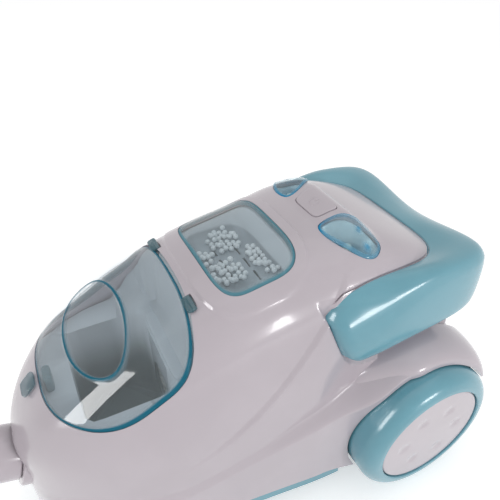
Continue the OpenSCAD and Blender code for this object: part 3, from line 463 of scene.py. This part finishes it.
def pocket(y, z):
    """Shallow recess that the bumper's side lies in: bounded by a slanted front edge and a level
    lower edge, with a round corner between them."""
    front = (y - pocket_y - (slant_z - z) * slant) * 0.94
    under = z - pocket_z + (y - 65) * 0.04
    near = -pocket_round * np.log(np.exp(-front / pocket_round) + np.exp(-under / pocket_round))
    return pocket_deep * ease(-1.0, 0.8, near) * ease(172, 158, z)


shoulder = 0.8


def body_rings(ys, inset, roof_n, side_n, dressed, foot):
    """Cross-sections along y from the right foot over the roof to the left foot. The roof has even
    steps across; the side has its steps gathered at the two creases."""
    y = ys[:, None]
    w = np.maximum(1, half_w(y) - inset)
    h = np.maximum(2, top_z(y, inset) - waist_z)
    e = sect_n(y)
    x_roof = w * shoulder * np.linspace(0, 1, roof_n, endpoint=False)
    z_roof = waist_z + h * bow(x_roof / w, e)
    top = waist_z + h * bow(shoulder, e)
    c = np.minimum(top - 1, crest_z(y) + 1)
    d = c - 11
    gap = top - c
    a = np.clip(crease_z(y) + 0.5, c + np.minimum(2, 0.6 * gap), top - np.minimum(0.5, 0.2 * gap))
    b = np.maximum(c + np.minimum(1, 0.3 * gap), a - 6)
    levels = [top, a, b, c, d, np.full_like(y, foot)]
    z_side = np.hstack([mix(levels[k], levels[k + 1], np.linspace(0, 1, side_n[k], endpoint=k == 4))
                        for k in range(5)])
    x_side = w * bow((z_side - waist_z) / h, e) - pocket(y, z_side) * ease(0, 8, top - z_side)
    if dressed:
        z_roof = z_roof + bar(x_roof, y) + pad(x_roof, y)
        x_side = x_side + terrace(y, z_side)
    x = np.hstack([x_roof, x_side])
    z = np.hstack([z_roof, z_side])
    x = np.hstack([-x[:, :0:-1], x])
    z = np.hstack([z[:, :0:-1], z])
    return np.stack([x, np.broadcast_to(y, x.shape), z], -1)


lid_tilt, lid_v, lid_a, lid_front, lid_rear, lid_n = np.radians(30), 25.0, 58.6, 55.5, 43.5, 2.7


def tilted(x, v, u):
    """From the lid's tilted plane (v up the plane, u off it) to the part's frame."""
    return np.stack([x, v * np.cos(lid_tilt) - u * np.sin(lid_tilt),
                     v * np.sin(lid_tilt) + u * np.cos(lid_tilt)], -1)


def upright(x, y, z):
    """Points as they stand in the part's frame."""
    return np.stack([x, y, z], -1)


def prism(outline, low, high, place=upright):
    """A closed cutter: an outline drawn out between two heights."""
    x, y = outline[:, 0], outline[:, 1]
    ends = [place(x, y, np.full_like(x, level)) for level in (low, high)]
    return ring_mesh("cutter", np.stack(ends))


def carve(mesh, cutters):
    """The mesh with closed cutters taken out of it, one after the other."""
    piece = bpy.data.objects.new("work", mesh)
    bpy.context.scene.collection.objects.link(piece)
    tools = []
    for cutter in cutters:
        tool = bpy.data.objects.new("tool", cutter)
        bpy.context.scene.collection.objects.link(tool)
        cut = piece.modifiers.new("cut", "BOOLEAN")
        cut.operation, cut.solver, cut.object = "DIFFERENCE", "MANIFOLD", tool
        tools.append(tool)
    bpy.context.view_layer.update()
    done = bpy.data.meshes.new_from_object(piece.evaluated_get(bpy.context.evaluated_depsgraph_get()))
    done.name = mesh.name
    for old in [piece] + tools:
        bpy.data.objects.remove(old)
    return done


window_y, window_a, window_b, window_n = 15.5, 41.3, 26.0, 4.5
button_y0, button_y1, button_front, button_rear = 65.0, 80.0, 12.2, 15.7
lens_x, lens_y, lens_a, lens_b, lens_turn = 34.6, 75.4, 18.4, 11.8, np.radians(38)


def window_outline(grow):
    """Superellipse of the bead window, grown all round."""
    return around(window_a + grow, window_b + grow, window_b + grow, window_n, 160) + [0, window_y]


def button_outline(grow):
    """Trapezoid with round corners, wider at the rear."""
    p = around(1, 1, 1, 6, 120)
    along = (p[:, 1] + 1) / 2
    return np.stack([p[:, 0] * (mix(button_front, button_rear, along) + grow),
                     mix(button_y0 - grow, button_y1 + grow, along)], -1)


def lens_outline(side, grow):
    """Oval that runs to a point at the button's front corner and is blunt at its outer end."""
    t = np.linspace(0, 2 * np.pi, 120, endpoint=False)
    n = np.where(np.cos(t) < 0, 1.75, 2.4)
    reach = np.where(np.cos(t) < 0, lens_a + 1.6, lens_a) + grow
    r = ((np.abs(np.cos(t)) / reach) ** n + (np.abs(np.sin(t)) / (lens_b + grow)) ** n) ** (-1 / n)
    p, q = r * np.cos(t), r * np.sin(t)
    return np.stack([side * (lens_x + p * np.cos(lens_turn) - q * np.sin(lens_turn)),
                     lens_y + p * np.sin(lens_turn) + q * np.cos(lens_turn)], -1)


def circle(radius, steps=64):
    """Circle about the origin."""
    return around(radius, radius, radius, 2, steps)


inlet_z, inlet_tilt, collar_r = 74.0, np.radians(19), 21.0


def at_inlet(a, b, h):
    """Along the hose inlet: h points out of the nose and upwards."""
    return np.stack([a, nose_y + 1 - h * np.cos(inlet_tilt) + b * np.sin(inlet_tilt),
                     inlet_z + h * np.sin(inlet_tilt) + b * np.cos(inlet_tilt)], -1)


hinge_x, hinge_y, hinge_z, hinge_room, hinge_half = 30.6, -23.8, 176.8, 2.1, 6.1
arch_r, well_x = 54.6, 68.0
nose_steps = nose_y + 0.05 + 75 * (1 - np.cos(np.linspace(0, np.pi / 2, 44)))
tail_z = 60.0
body_ys = np.concatenate([
    nose_steps, np.arange(-58.5, -24, 1.5), np.arange(-24, -14, 0.6), np.arange(-14, 40, 1.5),
    np.arange(40, 64, 0.6), np.arange(64, 160, 1.5), [160.2, 161, 161.5, 161.8]])
core_ys = np.concatenate([nose_y + 2.8 + 72.2 * (1 - np.cos(np.linspace(0, np.pi / 2, 24))),
                          np.arange(-56, 140, 4.0), np.arange(140, 156, 1.0), [157, 158.5, 159.1]])
cutters = [
    ring_mesh("cutter", body_rings(core_ys, wall, 24, (8, 4, 6, 4, 4), False, foot_z - 2)),
    prism(around(lid_a, lid_front, lid_rear, lid_n, 200) + [0, lid_v], 100, 260, tilted),
    prism(window_outline(0), 160, 240),
    prism(button_outline(0.4), 170, 240)]
for side in (1, -1):
    cutters += [
        prism(lens_outline(side, 0), 170, 240),
        prism(circle(arch_r, 200), well_x, well_x + 60,
              lambda a, b, h, s=side: np.stack([s * h, axle_y + a, axle_z + b], -1)),
        prism(np.array([[axle_y, axle_z], [axle_y + 66, axle_z + 54], [axle_y + 66, -5], [axle_y, -5]]),
              well_x, well_x + 60, lambda a, b, h, s=side: np.stack([s * h, a, b], -1)),
        prism(circle(3.4), 50, 80, lambda a, b, h, s=side: np.stack([s * h, axle_y + a, axle_z + b], -1)),
        prism(circle(hinge_room, 32), -hinge_half, hinge_half,
              lambda a, b, h, s=side: np.stack([s * hinge_x + h, hinge_y + a, hinge_z + b], -1))]
cutters.append(prism(circle(collar_r + 0.2, 96), -30, 20, at_inlet))
shell_rings = body_rings(body_ys, 0.0, 64, (16, 9, 44, 12, 8), True, foot_z)
tail_face = mix(shell_rings[-1:], np.array([0.0, body_ys[-1], tail_z]), 0.999)
body = carve(ring_mesh("body_shell", np.concatenate([shell_rings, tail_face])), cutters)

# Bumper: a thick turquoise moulding that wraps round the tail, drawn round the rear corners and
# ended in slanted round fronts. It clips onto the body and leaves a dark gap line along the panel.
bumper_y, bumper_rear, bumper_a, bumper_in, panel_y, bumper_z = 44.0, 168.0, 74.0, 59.0, 136.5, 126.0
bumper_mid, bumper_top, cheek_z, straight_y, end_round, end_l = 145.0, 168.0, 156.0, 90.0, 5.0, 11.0
gap_w, gap_deep = 0.9, 1.6


def wrap(a, rear, n, t):
    """Squared half loop round the tail, from one side to the other."""
    c, s = np.cos(t), np.sin(t).clip(1e-9)
    r = ((np.abs(c) / a) ** n + (s / (rear - bumper_y)) ** n) ** (-1 / n)
    return r * c, r * s + bumper_y


def smooth_loop(points, steps):
    """Closed Catmull-Rom curve through rows of points, along the second axis."""
    count = points.shape[1]
    at = np.arange(steps) * count / steps
    k, f = at.astype(int), (at % 1)[None, :, None]
    p = [points[:, (k + j) % count] for j in (-1, 0, 1, 2)]
    return 0.5 * (2 * p[1] + f * (p[2] - p[0]) + f ** 2 * (2 * p[0] - 5 * p[1] + 4 * p[2] - p[3])
                  + f ** 3 * (3 * p[1] - p[0] - 3 * p[2] + p[3]))


def side_x(y, z):
    """Half width of the plain side at a height: the roof's superellipse solved for x."""
    return half_w(y) * bow((z - waist_z) / (top_z(y) - waist_z), sect_n(y))


def bumper_rings():
    """Profiles round the tail: from the gap line on the panel over a round top edge, down the bulged
    outside and back under to the body. At both ends they shrink onto the body's side along a
    slanted line, so that the end is a round cheek."""
    t = np.linspace(0, np.pi, 241)
    corner = np.degrees(np.minimum(t, np.pi - t))
    xi, yi = wrap(bumper_in, panel_y, 5, t)
    xo, yo = wrap(bumper_a, bumper_rear, 8, t)
    zi = hood_z(xi, yi) + 1.0
    zo = mix(mix(152, 175, ease(15, 50, corner)), 164, ease(58, 90, corner))
    zl = bumper_z + 6 * ease(20, 60, corner)
    out = np.array([0, 0.08, 0.45, 0.8, 0.95, 1, 1.02, 1, 0.9, 0.72, 0.3, -0.1, -0.1])
    up = np.stack([zi - 1.4, zi, mix(zi, zo, 0.4) + 2.5, mix(zi, zo, 0.75) + 1.5, zo - 3, zo - 9,
                   mix(zo, zl, 0.5), zl + 6, zl + 1.5, zl, zl, zl + 1, zi - 8], 1)
    x = xi[:, None] + (xo - xi)[:, None] * out
    y = yi[:, None] + (yo - yi)[:, None] * out
    p = smooth_loop(np.stack([x, y, up], -1), 96)
    px, py, pz = p[..., 0], p[..., 1], p[..., 2]
    level = np.abs(pz - bumper_mid) / (bumper_top - bumper_mid)
    front = bumper_y - 1 + (slant_z - pz) * slant + end_round * (1 - bow(level, 2.2))
    py = np.where(py < straight_y, mix(front, straight_y, (py - bumper_y) / (straight_y - bumper_y)), py)
    swell = bow(1 - (py - front).clip(0) / end_l, 2.2)
    seat_z = np.clip(pz, bumper_z + 6, cheek_z)
    seat_x = np.sign(px) * (side_x(py, seat_z) - 4)
    swell = np.where(np.abs(np.cos(t))[:, None] > 0.3, swell, 1.0)
    return np.stack([mix(seat_x, px, swell), py, mix(seat_z, pz, swell)], -1)


def gap_cutter():
    """Narrow groove round the panel: a four-sided section carried along the bumper's inner edge."""
    t = np.linspace(0.0, np.pi, 161)
    edges = [wrap(bumper_in - d, panel_y - d, 5, t) for d in (gap_w, 0.0)]
    floor = hood_z(*edges[0]) - gap_deep
    corners = [(0, floor), (1, floor), (1, floor + 9), (0, floor + 9)]
    return ring_mesh("cutter", np.stack([np.stack([*edges[k], z], -1) for k, z in corners], 1))


piece_of(ring_mesh("bumper", bumper_rings()), turquoise, "body", "turquoise", "rear_bumper")
body = carve(body, [gap_cutter()])
piece_of(body, pale, "body", "pale_gloss", "upper_shell", angle=30)
# the flat tail face gets no smooth shading
facing = np.empty(3 * len(body.polygons))
body.polygons.foreach_get("normal", facing)
body.polygons.foreach_set("use_smooth", facing[1::3] < 0.999)

# Fenders: a round band over each rear wheel, one piece with the body. It grows out of the skirt in
# front of the wheel and ends behind it in a free point.
band_in, band_out, band_lip = 54.4, 67.0, 1.4
band_root, band_start, band_reach, band_flare = 62.0, 70.0, 86.5, 5.0
band_from, band_full, band_taper, band_tip = 142.0, 98.0, 52.0, 30.0


def fender_rings(side):
    """Sections along an arc about the axle, angles in degrees from the rear. Each runs as a quarter
    ellipse from its root in the body out to a thin edge, and back inside at the arch's radius."""
    to_tip = mix(band_taper, band_tip, np.sin(np.linspace(0, np.pi / 2, 26)))
    deg = np.concatenate([np.linspace(band_from, band_taper, 80), to_tip[1:]])[:, None]
    reach = mix(band_start, band_reach, ease(band_from, band_full, deg)) + band_flare * ease(90, 35, deg)
    edge = band_in + band_lip
    high = mix(edge, band_out, bow((band_taper - deg) / (band_taper - band_tip), 2))
    k = np.linspace(0, np.pi / 2, 17)
    x = np.hstack([mix(band_root, reach, np.sin(k)), reach, mix(reach, band_root, np.array([0.5, 1.0]))])
    r = np.hstack([mix(edge, high, np.cos(k)), np.full((len(deg), 3), band_in)])
    a = np.radians(deg)
    return np.stack([side * x, axle_y + r * np.cos(a), axle_z + r * np.sin(a)], -1)


for side, hand in ((1, "left"), (-1, "right")):
    piece_of(ring_mesh("fender_" + hand, fender_rings(side)), pale, "body", "pale_gloss", angle=50)

# Hose inlet: a pale collar glued into the nose and the swivelling cuff that a hose plugs into.
# Both are turned shapes in the body's plastic; a lip on the cuff snaps into the collar's groove.
cuff_r, cuff_bore, spigot_r, socket_r, socket_h, cuff_end = 17.0, 13.0, 15.0, 14.5, 24.0, 31.16
collar_l, groove_r, lip_r, spigot_gap = 33.0, 16.6, 16.2, 0.06
collar_section = np.array([
    [spigot_r + spigot_gap, 0], [collar_r - 1.2, 0], [collar_r - 0.4, -0.4], [collar_r, -1.2],
    [collar_r, -collar_l], [cuff_bore, -collar_l], [cuff_bore, -16], [groove_r, -16],
    [groove_r, -11.8], [spigot_r + spigot_gap, -11.8]])
cuff_section = np.vstack([
    [[cuff_bore, -14], [lip_r, -14], [lip_r, -12.2], [spigot_r, -12.2], [spigot_r, 0.4]],
    arc(cuff_r - 1, 1.4, 1, -90, 0, 6), arc(cuff_r - 1, cuff_end - 1, 1, 0, 90, 6),
    [[socket_r, cuff_end], [socket_r, cuff_end - socket_h], [cuff_bore, cuff_end - socket_h]]])
collar = ring_mesh("collar", turned(collar_section, 96, at_inlet), loop=True)
piece_of(collar, pale, "body", "pale_gloss", "inlet_collar")
cuff = ring_mesh("cuff", turned(cuff_section, 96, at_inlet), loop=True)
piece_of(cuff, pale, "cuff", "pale_gloss", "hose_cuff")

# Bead chamber: a pale tray under the window with slots in its floor, and the loose white foam
# beads that the fan blows about. They lie in heaps while it is off.
# The chamber's grey darkens from 176 mm down to 172 mm, towards its bottom.
chamber_grey = grey_darker_below("chamber_grey", 0.172, 0.176, srgb(150, 159, 166), srgb(212, 218, 223), 0.4)
rounded_copy("bead_chamber", chamber_grey, "white_plastic")
foam = plastic("foam_white", srgb(232, 236, 238), srgb(244, 246, 247), 0.75, ripple=0.3, speckle=2500.0)
bead_floor, bead_r, bead_rows, bead_steps = 171.0, 1.9, 7, 10
heaps = np.array([[-20, 18, 13, 11], [7, 32, 17, 7], [-8, 0.5, 7, 5], [12, 6, 12, 11]])


def bead_mesh():
    """Balls on a low sphere grid: their places are jittered rows kept where they fall in a heap."""
    chance = np.random.default_rng(7)
    pitch = 2 * bead_r + 0.15
    i, j = np.meshgrid(np.arange(-10, 11), np.arange(-7, 8))
    x = ((i + 0.5 * (j % 2)) * pitch).ravel()
    y = (window_y + j * pitch * 0.87).ravel()
    x = x + chance.uniform(-0.5, 0.5, x.size)
    y = y + chance.uniform(-0.5, 0.5, y.size)
    far = np.hypot((x[:, None] - heaps[:, 0]) / heaps[:, 2], (y[:, None] - heaps[:, 1]) / heaps[:, 3])
    keep = (far < 1).any(1) & (np.abs(x) < 35.5) & (np.abs(y - window_y) < 20.4)
    x, y = x[keep], y[keep]
    r = bead_r * chance.uniform(0.82, 1.0, x.size)
    lift = np.where(chance.uniform(0, 1, x.size) < 0.18, 2.2, 0.0)
    tall = np.linspace(0, np.pi, bead_rows)[:, None]
    turn = np.linspace(0, 2 * np.pi, bead_steps, endpoint=False)
    ball = np.stack([np.sin(tall) * np.cos(turn), np.sin(tall) * np.sin(turn), np.cos(tall) + 0 * turn], -1)
    centre = np.stack([x, y, bead_floor + r + lift + 0.05], -1)
    points = centre[:, None] + ball.reshape(-1, 3) * r[:, None, None]
    count = bead_rows * bead_steps
    index = np.arange(count).reshape(bead_rows, bead_steps)
    upper, lower = index[:-1], index[1:]
    quad = np.stack([upper, lower, np.roll(lower, -1, 1), np.roll(upper, -1, 1)], -1).reshape(-1, 4)
    faces = (quad + count * np.arange(len(x))[:, None, None]).reshape(-1, 4)
    mesh = bpy.data.meshes.new("beads")
    mesh.from_pydata((points.reshape(-1, 3) * MM).tolist(), [], faces.tolist())
    return mesh


beads = bead_mesh()
piece_of(welded(beads, beads, 1e-7), foam, "body", "white_plastic", "foam_beads", angle=80)

# Lamps: a silvered cup under each clear lens, with one round lamp standing in its floor. The cup is
# a thin moulding with a metallised inside, held between the control board and the body.
# The cup's colour darkens to a blue grey from 185.5 mm down to 181.5 mm, towards its floor.
silver = grey_darker_below("silvered", 0.1815, 0.1855, srgb(120, 158, 176), srgb(226, 232, 236), 0.22)
lamp_white = plastic("lamp_white", srgb(226, 228, 214), srgb(238, 239, 228), 0.3)
board_z = 178.6


def lamp_cup(side):
    """Cup that follows the lens outline: a flat floor, a rounded corner and a wall that opens a
    little up to the lens, with a thin wall thickness."""
    depth = np.array([0.0, 0.0, 0.25, 0.6, 0.96, 0.96, 0.6, 0.25, -0.08, -0.08])
    inset = np.array([-12.0, -6.5, -4.6, -3.4, -1.6, -0.6, -2.4, -3.6, -6.0, -12.0])
    rings = []
    for d, g in zip(depth, inset):
        p = lens_outline(side, max(g, -10.0))
        top = hood_z(p[:, 0], p[:, 1], 2.6) + bar(p[:, 0], p[:, 1])
        rings.append(np.stack([p[:, 0], p[:, 1], mix(board_z + 1.0, top, d)], -1))
    return np.stack(rings)


for side, hand in ((1, "left"), (-1, "right")):
    cup = ring_mesh("lamp_cup_" + hand, lamp_cup(side))
    piece_of(cup, silver, "body", "silvered", "lamp_reflector_" + hand)
rounded_copy("lamp_leds", lamp_white, "white_plastic")

# Window, lenses and lid: clear blue-tinted plastic, about two millimetres thick. Seen through its
# face it is nearly colourless; light gathers in its cut edges and ribs, which look deep blue.
both_faces = 1.2  # a thin sheet mirrors a little at its back too


def clear_blue(name, veil, edge_tone, veil_tone, tint=(0.945, 0.972, 0.985, 1.0)):
    """Clear tinted plastic: a see-through face with a faint veil, deep colour where the edge mark
    is set, and a mirror gloss over all of it that grows at grazing angles."""
    material, shader, place = new_finish(name)
    tree = material.node_tree
    mark = place.node("Attribute", {"attribute_name": "edge"}, out=2)
    smear = place.noise(place, 60.0, 3.0)
    mark.between(veil_tone, edge_tone).feed(shader, "Base Color")
    shader.inputs["Roughness"].default_value = 0.2
    shader.inputs["Specular IOR Level"].default_value = 0.05
    through = place.node("BsdfTransparent", None, {"Color": tint})
    body_mix = place.node("MixShader", None, {0: (mark * 0.9 + veil + smear * 0.03), 1: through})
    tree.links.new(shader.outputs[0], body_mix.socket.node.inputs[2])
    gloss = place.node("BsdfGlossy", None, {"Color": (1, 1, 1, 1), "Roughness": 0.025})
    outer = 1 - place.node("NewGeometry", out="Backfacing")
    shine = place.node("Fresnel", None, {"IOR": 1.5}) * outer * (1 - mark * 0.95) * both_faces
    top = place.node("MixShader", None, {0: shine, 1: body_mix, 2: gloss})
    tree.links.new(top.socket, tree.nodes["Material Output"].inputs[0])
    return material


clear = clear_blue("clear_blue", 0.02, srgb(0, 104, 128), srgb(168, 186, 196))
bright = clear_blue("clear_lens", 0.04, srgb(0, 142, 190), srgb(150, 196, 214), (0.88, 0.96, 0.98, 1.0))
teal = clear_blue("clear_teal", 0.03, srgb(52, 132, 150), srgb(168, 190, 198))
smoky = clear_blue("clear_block", 0.08, srgb(46, 98, 110), srgb(120, 150, 158))


def pillow(outline, rows, top, bottom, rim=0.5):
    """Closed patch: outline points drawn in to their middle by rows. The top runs out to the rim,
    turns over it in a small round and comes back along the bottom."""
    middle = outline.mean(0)
    r = np.linspace(0.01, 1, rows)
    flat = middle + (outline - middle) * r[:, None, None]
    upper, lower = top(flat[..., 0], flat[..., 1]), bottom(flat[..., 0], flat[..., 1])
    drop = rim / np.maximum(np.linalg.norm(upper[-1] - lower[-1], axis=-1, keepdims=True), 1e-6)
    upper[-1] = mix(upper[-1], lower[-1], drop)
    lower[-1] = mix(lower[-1], upper[-1], drop)
    return np.concatenate([upper, lower[::-1]]), r


def rim_mark(outline, rows, width):
    """1 along the outline, falling to 0 at the width inside it, for the top and the bottom."""
    middle = outline.mean(0)
    r = np.linspace(0.01, 1, rows)[:, None]
    reach = np.linalg.norm(outline - middle, axis=1)
    inside = (1 - r) * reach
    mark = 1 - ease(0.55 * width, width, inside)
    return np.concatenate([mark, mark[::-1]])


window_edge = window_outline(-0.25)
window_rows, window_bulge = 40, 0.5


def window_top(x, y):
    """The roof lifted by the plateau, with a slight bulge across."""
    return np.stack([x, y, hood_z(x, y) + pad_h + window_bulge * (1 - (x / window_a) ** 2)], -1)


window_rings, _ = pillow(window_edge, window_rows, window_top,
                         lambda x, y: np.stack([x, y, hood_z(x, y, wall) + pad_h], -1))
window_mesh = ring_mesh("window", window_rings, edge=0.85 * rim_mark(window_edge, window_rows, 2.6))
piece_of(window_mesh, teal, "body", "clear_blue", "bead_window")
lens_rows, lens_lift, lens_t, tip_x, tip_y, tip_spread = 24, 3.2, 1.8, 20.5, 62.0, 90.0
glint_spots = ((35.5, 80.0, 1.8), (46.0, 79.5, 2.4))
for side, hand in ((1, "left"), (-1, "right")):
    lens_edge = lens_outline(side, -0.2)
    middle = lens_edge.mean(0)

    def dome(x, y):
        """Bulge of the lens over the bar, highest in its middle."""
        far = np.hypot((x - middle[0]) / lens_a, (y - middle[1]) / lens_a)
        return np.stack([x, y, hood_z(x, y) + bar(x, y) + lens_lift * (1 - far ** 2).clip(0)], -1)

    lens_rings, lens_r = pillow(lens_edge, lens_rows, dome, lambda x, y: dome(x, y) - [0, 0, lens_t])
    tip = np.exp(-((lens_edge[:, 0] - side * tip_x) ** 2 + (lens_edge[:, 1] - tip_y) ** 2) / tip_spread)
    lens_flat = middle + (lens_edge - middle) * lens_r[:, None, None]
    patches = [np.exp(-((lens_flat[..., 0] - side * x) ** 2 + (lens_flat[..., 1] - y) ** 2) / r ** 2)
               for x, y, r in glint_spots]
    glints = np.maximum(*patches) * 0.8
    lens_mark = np.maximum(rim_mark(lens_edge, lens_rows, 2.2) * (0.5 + 0.5 * tip),
                           np.concatenate([glints, glints[::-1]]))
    piece_of(ring_mesh("lens_" + hand, lens_rings, edge=lens_mark), bright, "body", "clear_blue",
             "lamp_lens_" + hand)


def on_roof(x, v, inset):
    """Point of the roof that lies at (x, v) on the lid's tilted plane, found by halving."""
    low, high = np.full_like(x, 40.0), np.full_like(x, 220.0)
    for _ in range(36):
        u = (low + high) / 2
        p = tilted(x, v, u)
        above = p[..., 2] > hood_z(x, p[..., 1], inset)
        low, high = np.where(above, low, u), np.where(above, u, high)
    return tilted(x, v, (low + high) / 2)


rib_a, rib_b, rib_v, rib_h = 39.0, 20.0, 14.4, 0.9


def rib(x, v):
    """Oval bead on the lid: distance from an ellipse, as a rounded line about a millimetre wide."""
    far = np.hypot(x / rib_a, (v - rib_v) / rib_b)
    away = np.abs(far - 1) * np.hypot(x, v - rib_v) / np.maximum(far, 1e-6)
    return 1 - ease(0.5, 1.7, away)


def lid_top(x, v):
    """The roof over the lid's plane, raised off the plane along the rib."""
    return on_roof(x, v, 0.0) + rib_h * rib(x, v)[..., None] * tilted(0.0, 0.0, 1.0)


lid_rows, lid_gap, lid_short, lid_t = 80, 0.4, 1.9, 2.0
lid_edge = around(lid_a - lid_gap, lid_front - lid_gap, lid_rear - lid_short, lid_n, 240) + [0, lid_v]
lid_rings, lid_r = pillow(lid_edge, lid_rows, lid_top, lambda x, v: on_roof(x, v, lid_t))
lid_middle = lid_edge.mean(0)
lid_flat = lid_middle + (lid_edge - lid_middle) * lid_r[:, None, None]
lid_mark = np.maximum(rim_mark(lid_edge, lid_rows, 1.7)[:lid_rows], rib(lid_flat[..., 0], lid_flat[..., 1]))
lid_mesh = ring_mesh("lid", lid_rings, edge=np.concatenate([lid_mark, lid_mark[::-1] * 0.4]))
piece_of(lid_mesh, clear, "lid", "clear_blue", "dust_lid")


def lid_block(name, rings, mark):
    """A small clear piece of the lid with one depth of colour all over."""
    mesh = ring_mesh(name, rings, edge=np.full(rings.shape[:2], mark))
    piece_of(mesh, smoky, "lid", "clear_blue", angle=40)


lug_r, lug_half = 1.35, 5.8
lug_flange = [[-1.8, 0.9], [-3.6, 0.2], [-4.4, -0.6], [-4.0, -1.8], [-1.6, -2.2]]
for side, hand in ((1, "left"), (-1, "right")):
    lug = np.vstack([arc(0, 0, lug_r, -110, 110, 15), lug_flange])
    s = np.sin(np.linspace(-np.pi / 2, np.pi / 2, 25))[:, None]
    close = bow(np.abs(s), 8)
    lug_rings = np.stack([side * hinge_x + lug_half * s + 0 * lug[:, 0], hinge_y + close * lug[:, 0],
                          hinge_z + close * lug[:, 1]], -1)
    lid_block("hinge_lug_" + hand, lug_rings, 0.65)
tab_y, tab_z, tab_tilt, tab_from, tab_half, tab_lift = -106.0, 134.6, np.radians(46), 12.5, 5.5, 1.8


def on_tab(p, q, r):
    """Along the finger tab (p down the nose), across it (q) and off the nose (r)."""
    down, off = -tab_from - p, tab_lift + r
    return np.stack([q, tab_y + down * np.cos(tab_tilt) - off * np.sin(tab_tilt),
                     tab_z + down * np.sin(tab_tilt) + off * np.cos(tab_tilt)], -1)


lid_block("finger_tab", block(tab_half, 6.0, 1.5, on_tab, ridge=0.25), 0.35)
catch_y, catch_z = -105.0, 126.0
lid_block("lid_catch", block(5.5, 7.0, 2.6, lambda p, q, r: np.stack([q, catch_y + r, catch_z + p], -1)), 0.6)

# Button: a pale trapezoid with round corners in the raised bar, moulded with a stand-by sign in low
# relief. It slides in its opening, on a spring over the switch.
button_up, button_foot = 0.8, 190.5
button_rings, _ = pillow(button_outline(0), 24,
                         lambda x, y: np.stack([x, y, hood_z(x, y) + bar(x, y) + button_up], -1),
                         lambda x, y: np.stack([x, y, np.full_like(x, button_foot)], -1), rim=0.4)
piece_of(ring_mesh("button", button_rings), pale, "button", "pale_gloss", "power_button")
sign_r, sign_w, sign_h, sign_x, sign_y, sign_gap = 3.2, 0.45, 0.3, 0.0, 72.0, 38.0


def raised_line(x, y):
    """Low round line on the button along a path: sections across it, drawn in at both ends."""
    along = np.stack([np.gradient(x), np.gradient(y)])
    across = np.stack([-along[1], along[0]]) / np.linalg.norm(along, axis=0)
    section = circle(1.0, 12)
    size = bow(np.abs(np.linspace(-1, 1, len(x))), 6)[:, None]
    px = x[:, None] + sign_w * size * across[0][:, None] * section[:, 0]
    py = y[:, None] + sign_w * size * across[1][:, None] * section[:, 0]
    return np.stack([px, py, hood_z(px, py) + bar(px, py) + button_up + sign_h * size * section[:, 1]], -1)


sign_ring = arc(sign_x, sign_y, sign_r, 90 + sign_gap, 450 - sign_gap, 49)
sign_bar = np.stack([np.full(15, sign_x), np.linspace(sign_y + 0.4, sign_y + sign_r + 0.9, 15)], -1)
for part, path in (("ring", sign_ring), ("bar", sign_bar)):
    line = ring_mesh("sign_" + part, raised_line(path[:, 0], path[:, 1]))
    piece_of(line, pale, "button", "pale_gloss", angle=60)

# Studio: a plain white floor and room, a tall soft box in front, one at the left and one above.
# The floor and the room show white to the camera and in reflections; the floor keeps the shadow. A
# card before the front box adds a bright strip in mirror surfaces and throws no light on dull ones.
floor_half, floor_tone, floor_glow, room_light = 6.0, 0.9, 0.45, 0.58


def seen(place):
    """1 for what the camera sees, straight, mirrored or through clear plastic."""
    rays = [place.node("LightPath", out="Is %s Ray" % kind) for kind in ("Camera", "Glossy", "Transmission")]
    return place.math("MINIMUM", rays[0] + rays[1] + rays[2], 1.0)


floor_mesh = bpy.data.meshes.new("floor")
corners = np.array([[-1, -1, 0], [1, -1, 0], [1, 1, 0], [-1, 1, 0]]) * floor_half
floor_mesh.from_pydata(corners.tolist(), [], [[0, 1, 2, 3]])
floor = bpy.data.objects.new("floor", floor_mesh)
bpy.context.scene.collection.objects.link(floor)
floor_paint, _, floor_place = new_finish("floor_white")
floor_tree = floor_paint.node_tree
paper = floor_place.node("BsdfDiffuse", None, {"Color": (floor_tone, floor_tone, floor_tone, 1)})
glow = floor_place.node("Emission", None, {"Color": (1, 1, 1, 1), "Strength": floor_glow})
lit = floor_place.node("AddShader", None, {0: paper, 1: glow})
shown = floor_place.node("MixShader", None, {0: seen(floor_place), 1: paper, 2: lit})
floor_tree.links.new(shown.socket, floor_tree.nodes["Material Output"].inputs[0])
floor_mesh.materials.append(floor_paint)


def soft_box(name, azimuth, height, far, width, tall, power, target=(0.0, 0.02, 0.12)):
    """Rectangular lamp at a bearing, elevation and distance from its target, facing it."""
    a, e = np.radians(azimuth), np.radians(height)
    away = Vector((np.cos(e) * np.cos(a), np.cos(e) * np.sin(a), np.sin(e)))
    lamp = bpy.data.lights.new(name, "AREA")
    lamp.shape, lamp.size, lamp.size_y, lamp.energy = "RECTANGLE", width, tall, power
    box = bpy.data.objects.new(name, lamp)
    box.location = Vector(target) + away * far
    box.rotation_euler = away.to_track_quat("Z", "Y").to_euler()
    bpy.context.scene.collection.objects.link(box)
    return box


soft_box("front_box", -77, 22, 1.2, 0.5, 0.9, 1.5)
soft_box("left_box", 20, 8, 1.3, 0.34, 0.24, 4.0)
soft_box("top_box", 150, 82, 1.8, 2.0, 2.0, 4.0)
mirror_card = soft_box("front_card", -77, 23, 1.12, 0.44, 0.74, 8.0)
mirror_card.visible_diffuse = False
world = bpy.data.worlds.new("studio")
world.use_nodes = True
room = Tone(world.node_tree)
dim = room.node("Background", None, {"Color": (1, 1, 1, 1), "Strength": room_light})
white = room.node("Background", None, {"Color": (1, 1, 1, 1), "Strength": 1.0})
backdrop = room.node("MixShader", None, {0: seen(room), 1: dim, 2: white})
world.node_tree.links.new(backdrop.socket, world.node_tree.nodes["World Output"].inputs[0])
bpy.context.scene.world = world
bpy.context.scene.view_settings.view_transform = "Standard"

camera_back = Vector((0.7227, -0.3645, 0.5872))
camera_data = bpy.data.cameras.new("camera")
camera_data.sensor_width, camera_data.lens = 36.0, 35.23
camera = bpy.data.objects.new("camera", camera_data)
camera.location = Vector((220.0, -84.0, 354.2)) * MM
camera.rotation_euler = camera_back.to_track_quat("Z", "Y").to_euler()
bpy.context.scene.collection.objects.link(camera)
bpy.context.scene.camera = camera
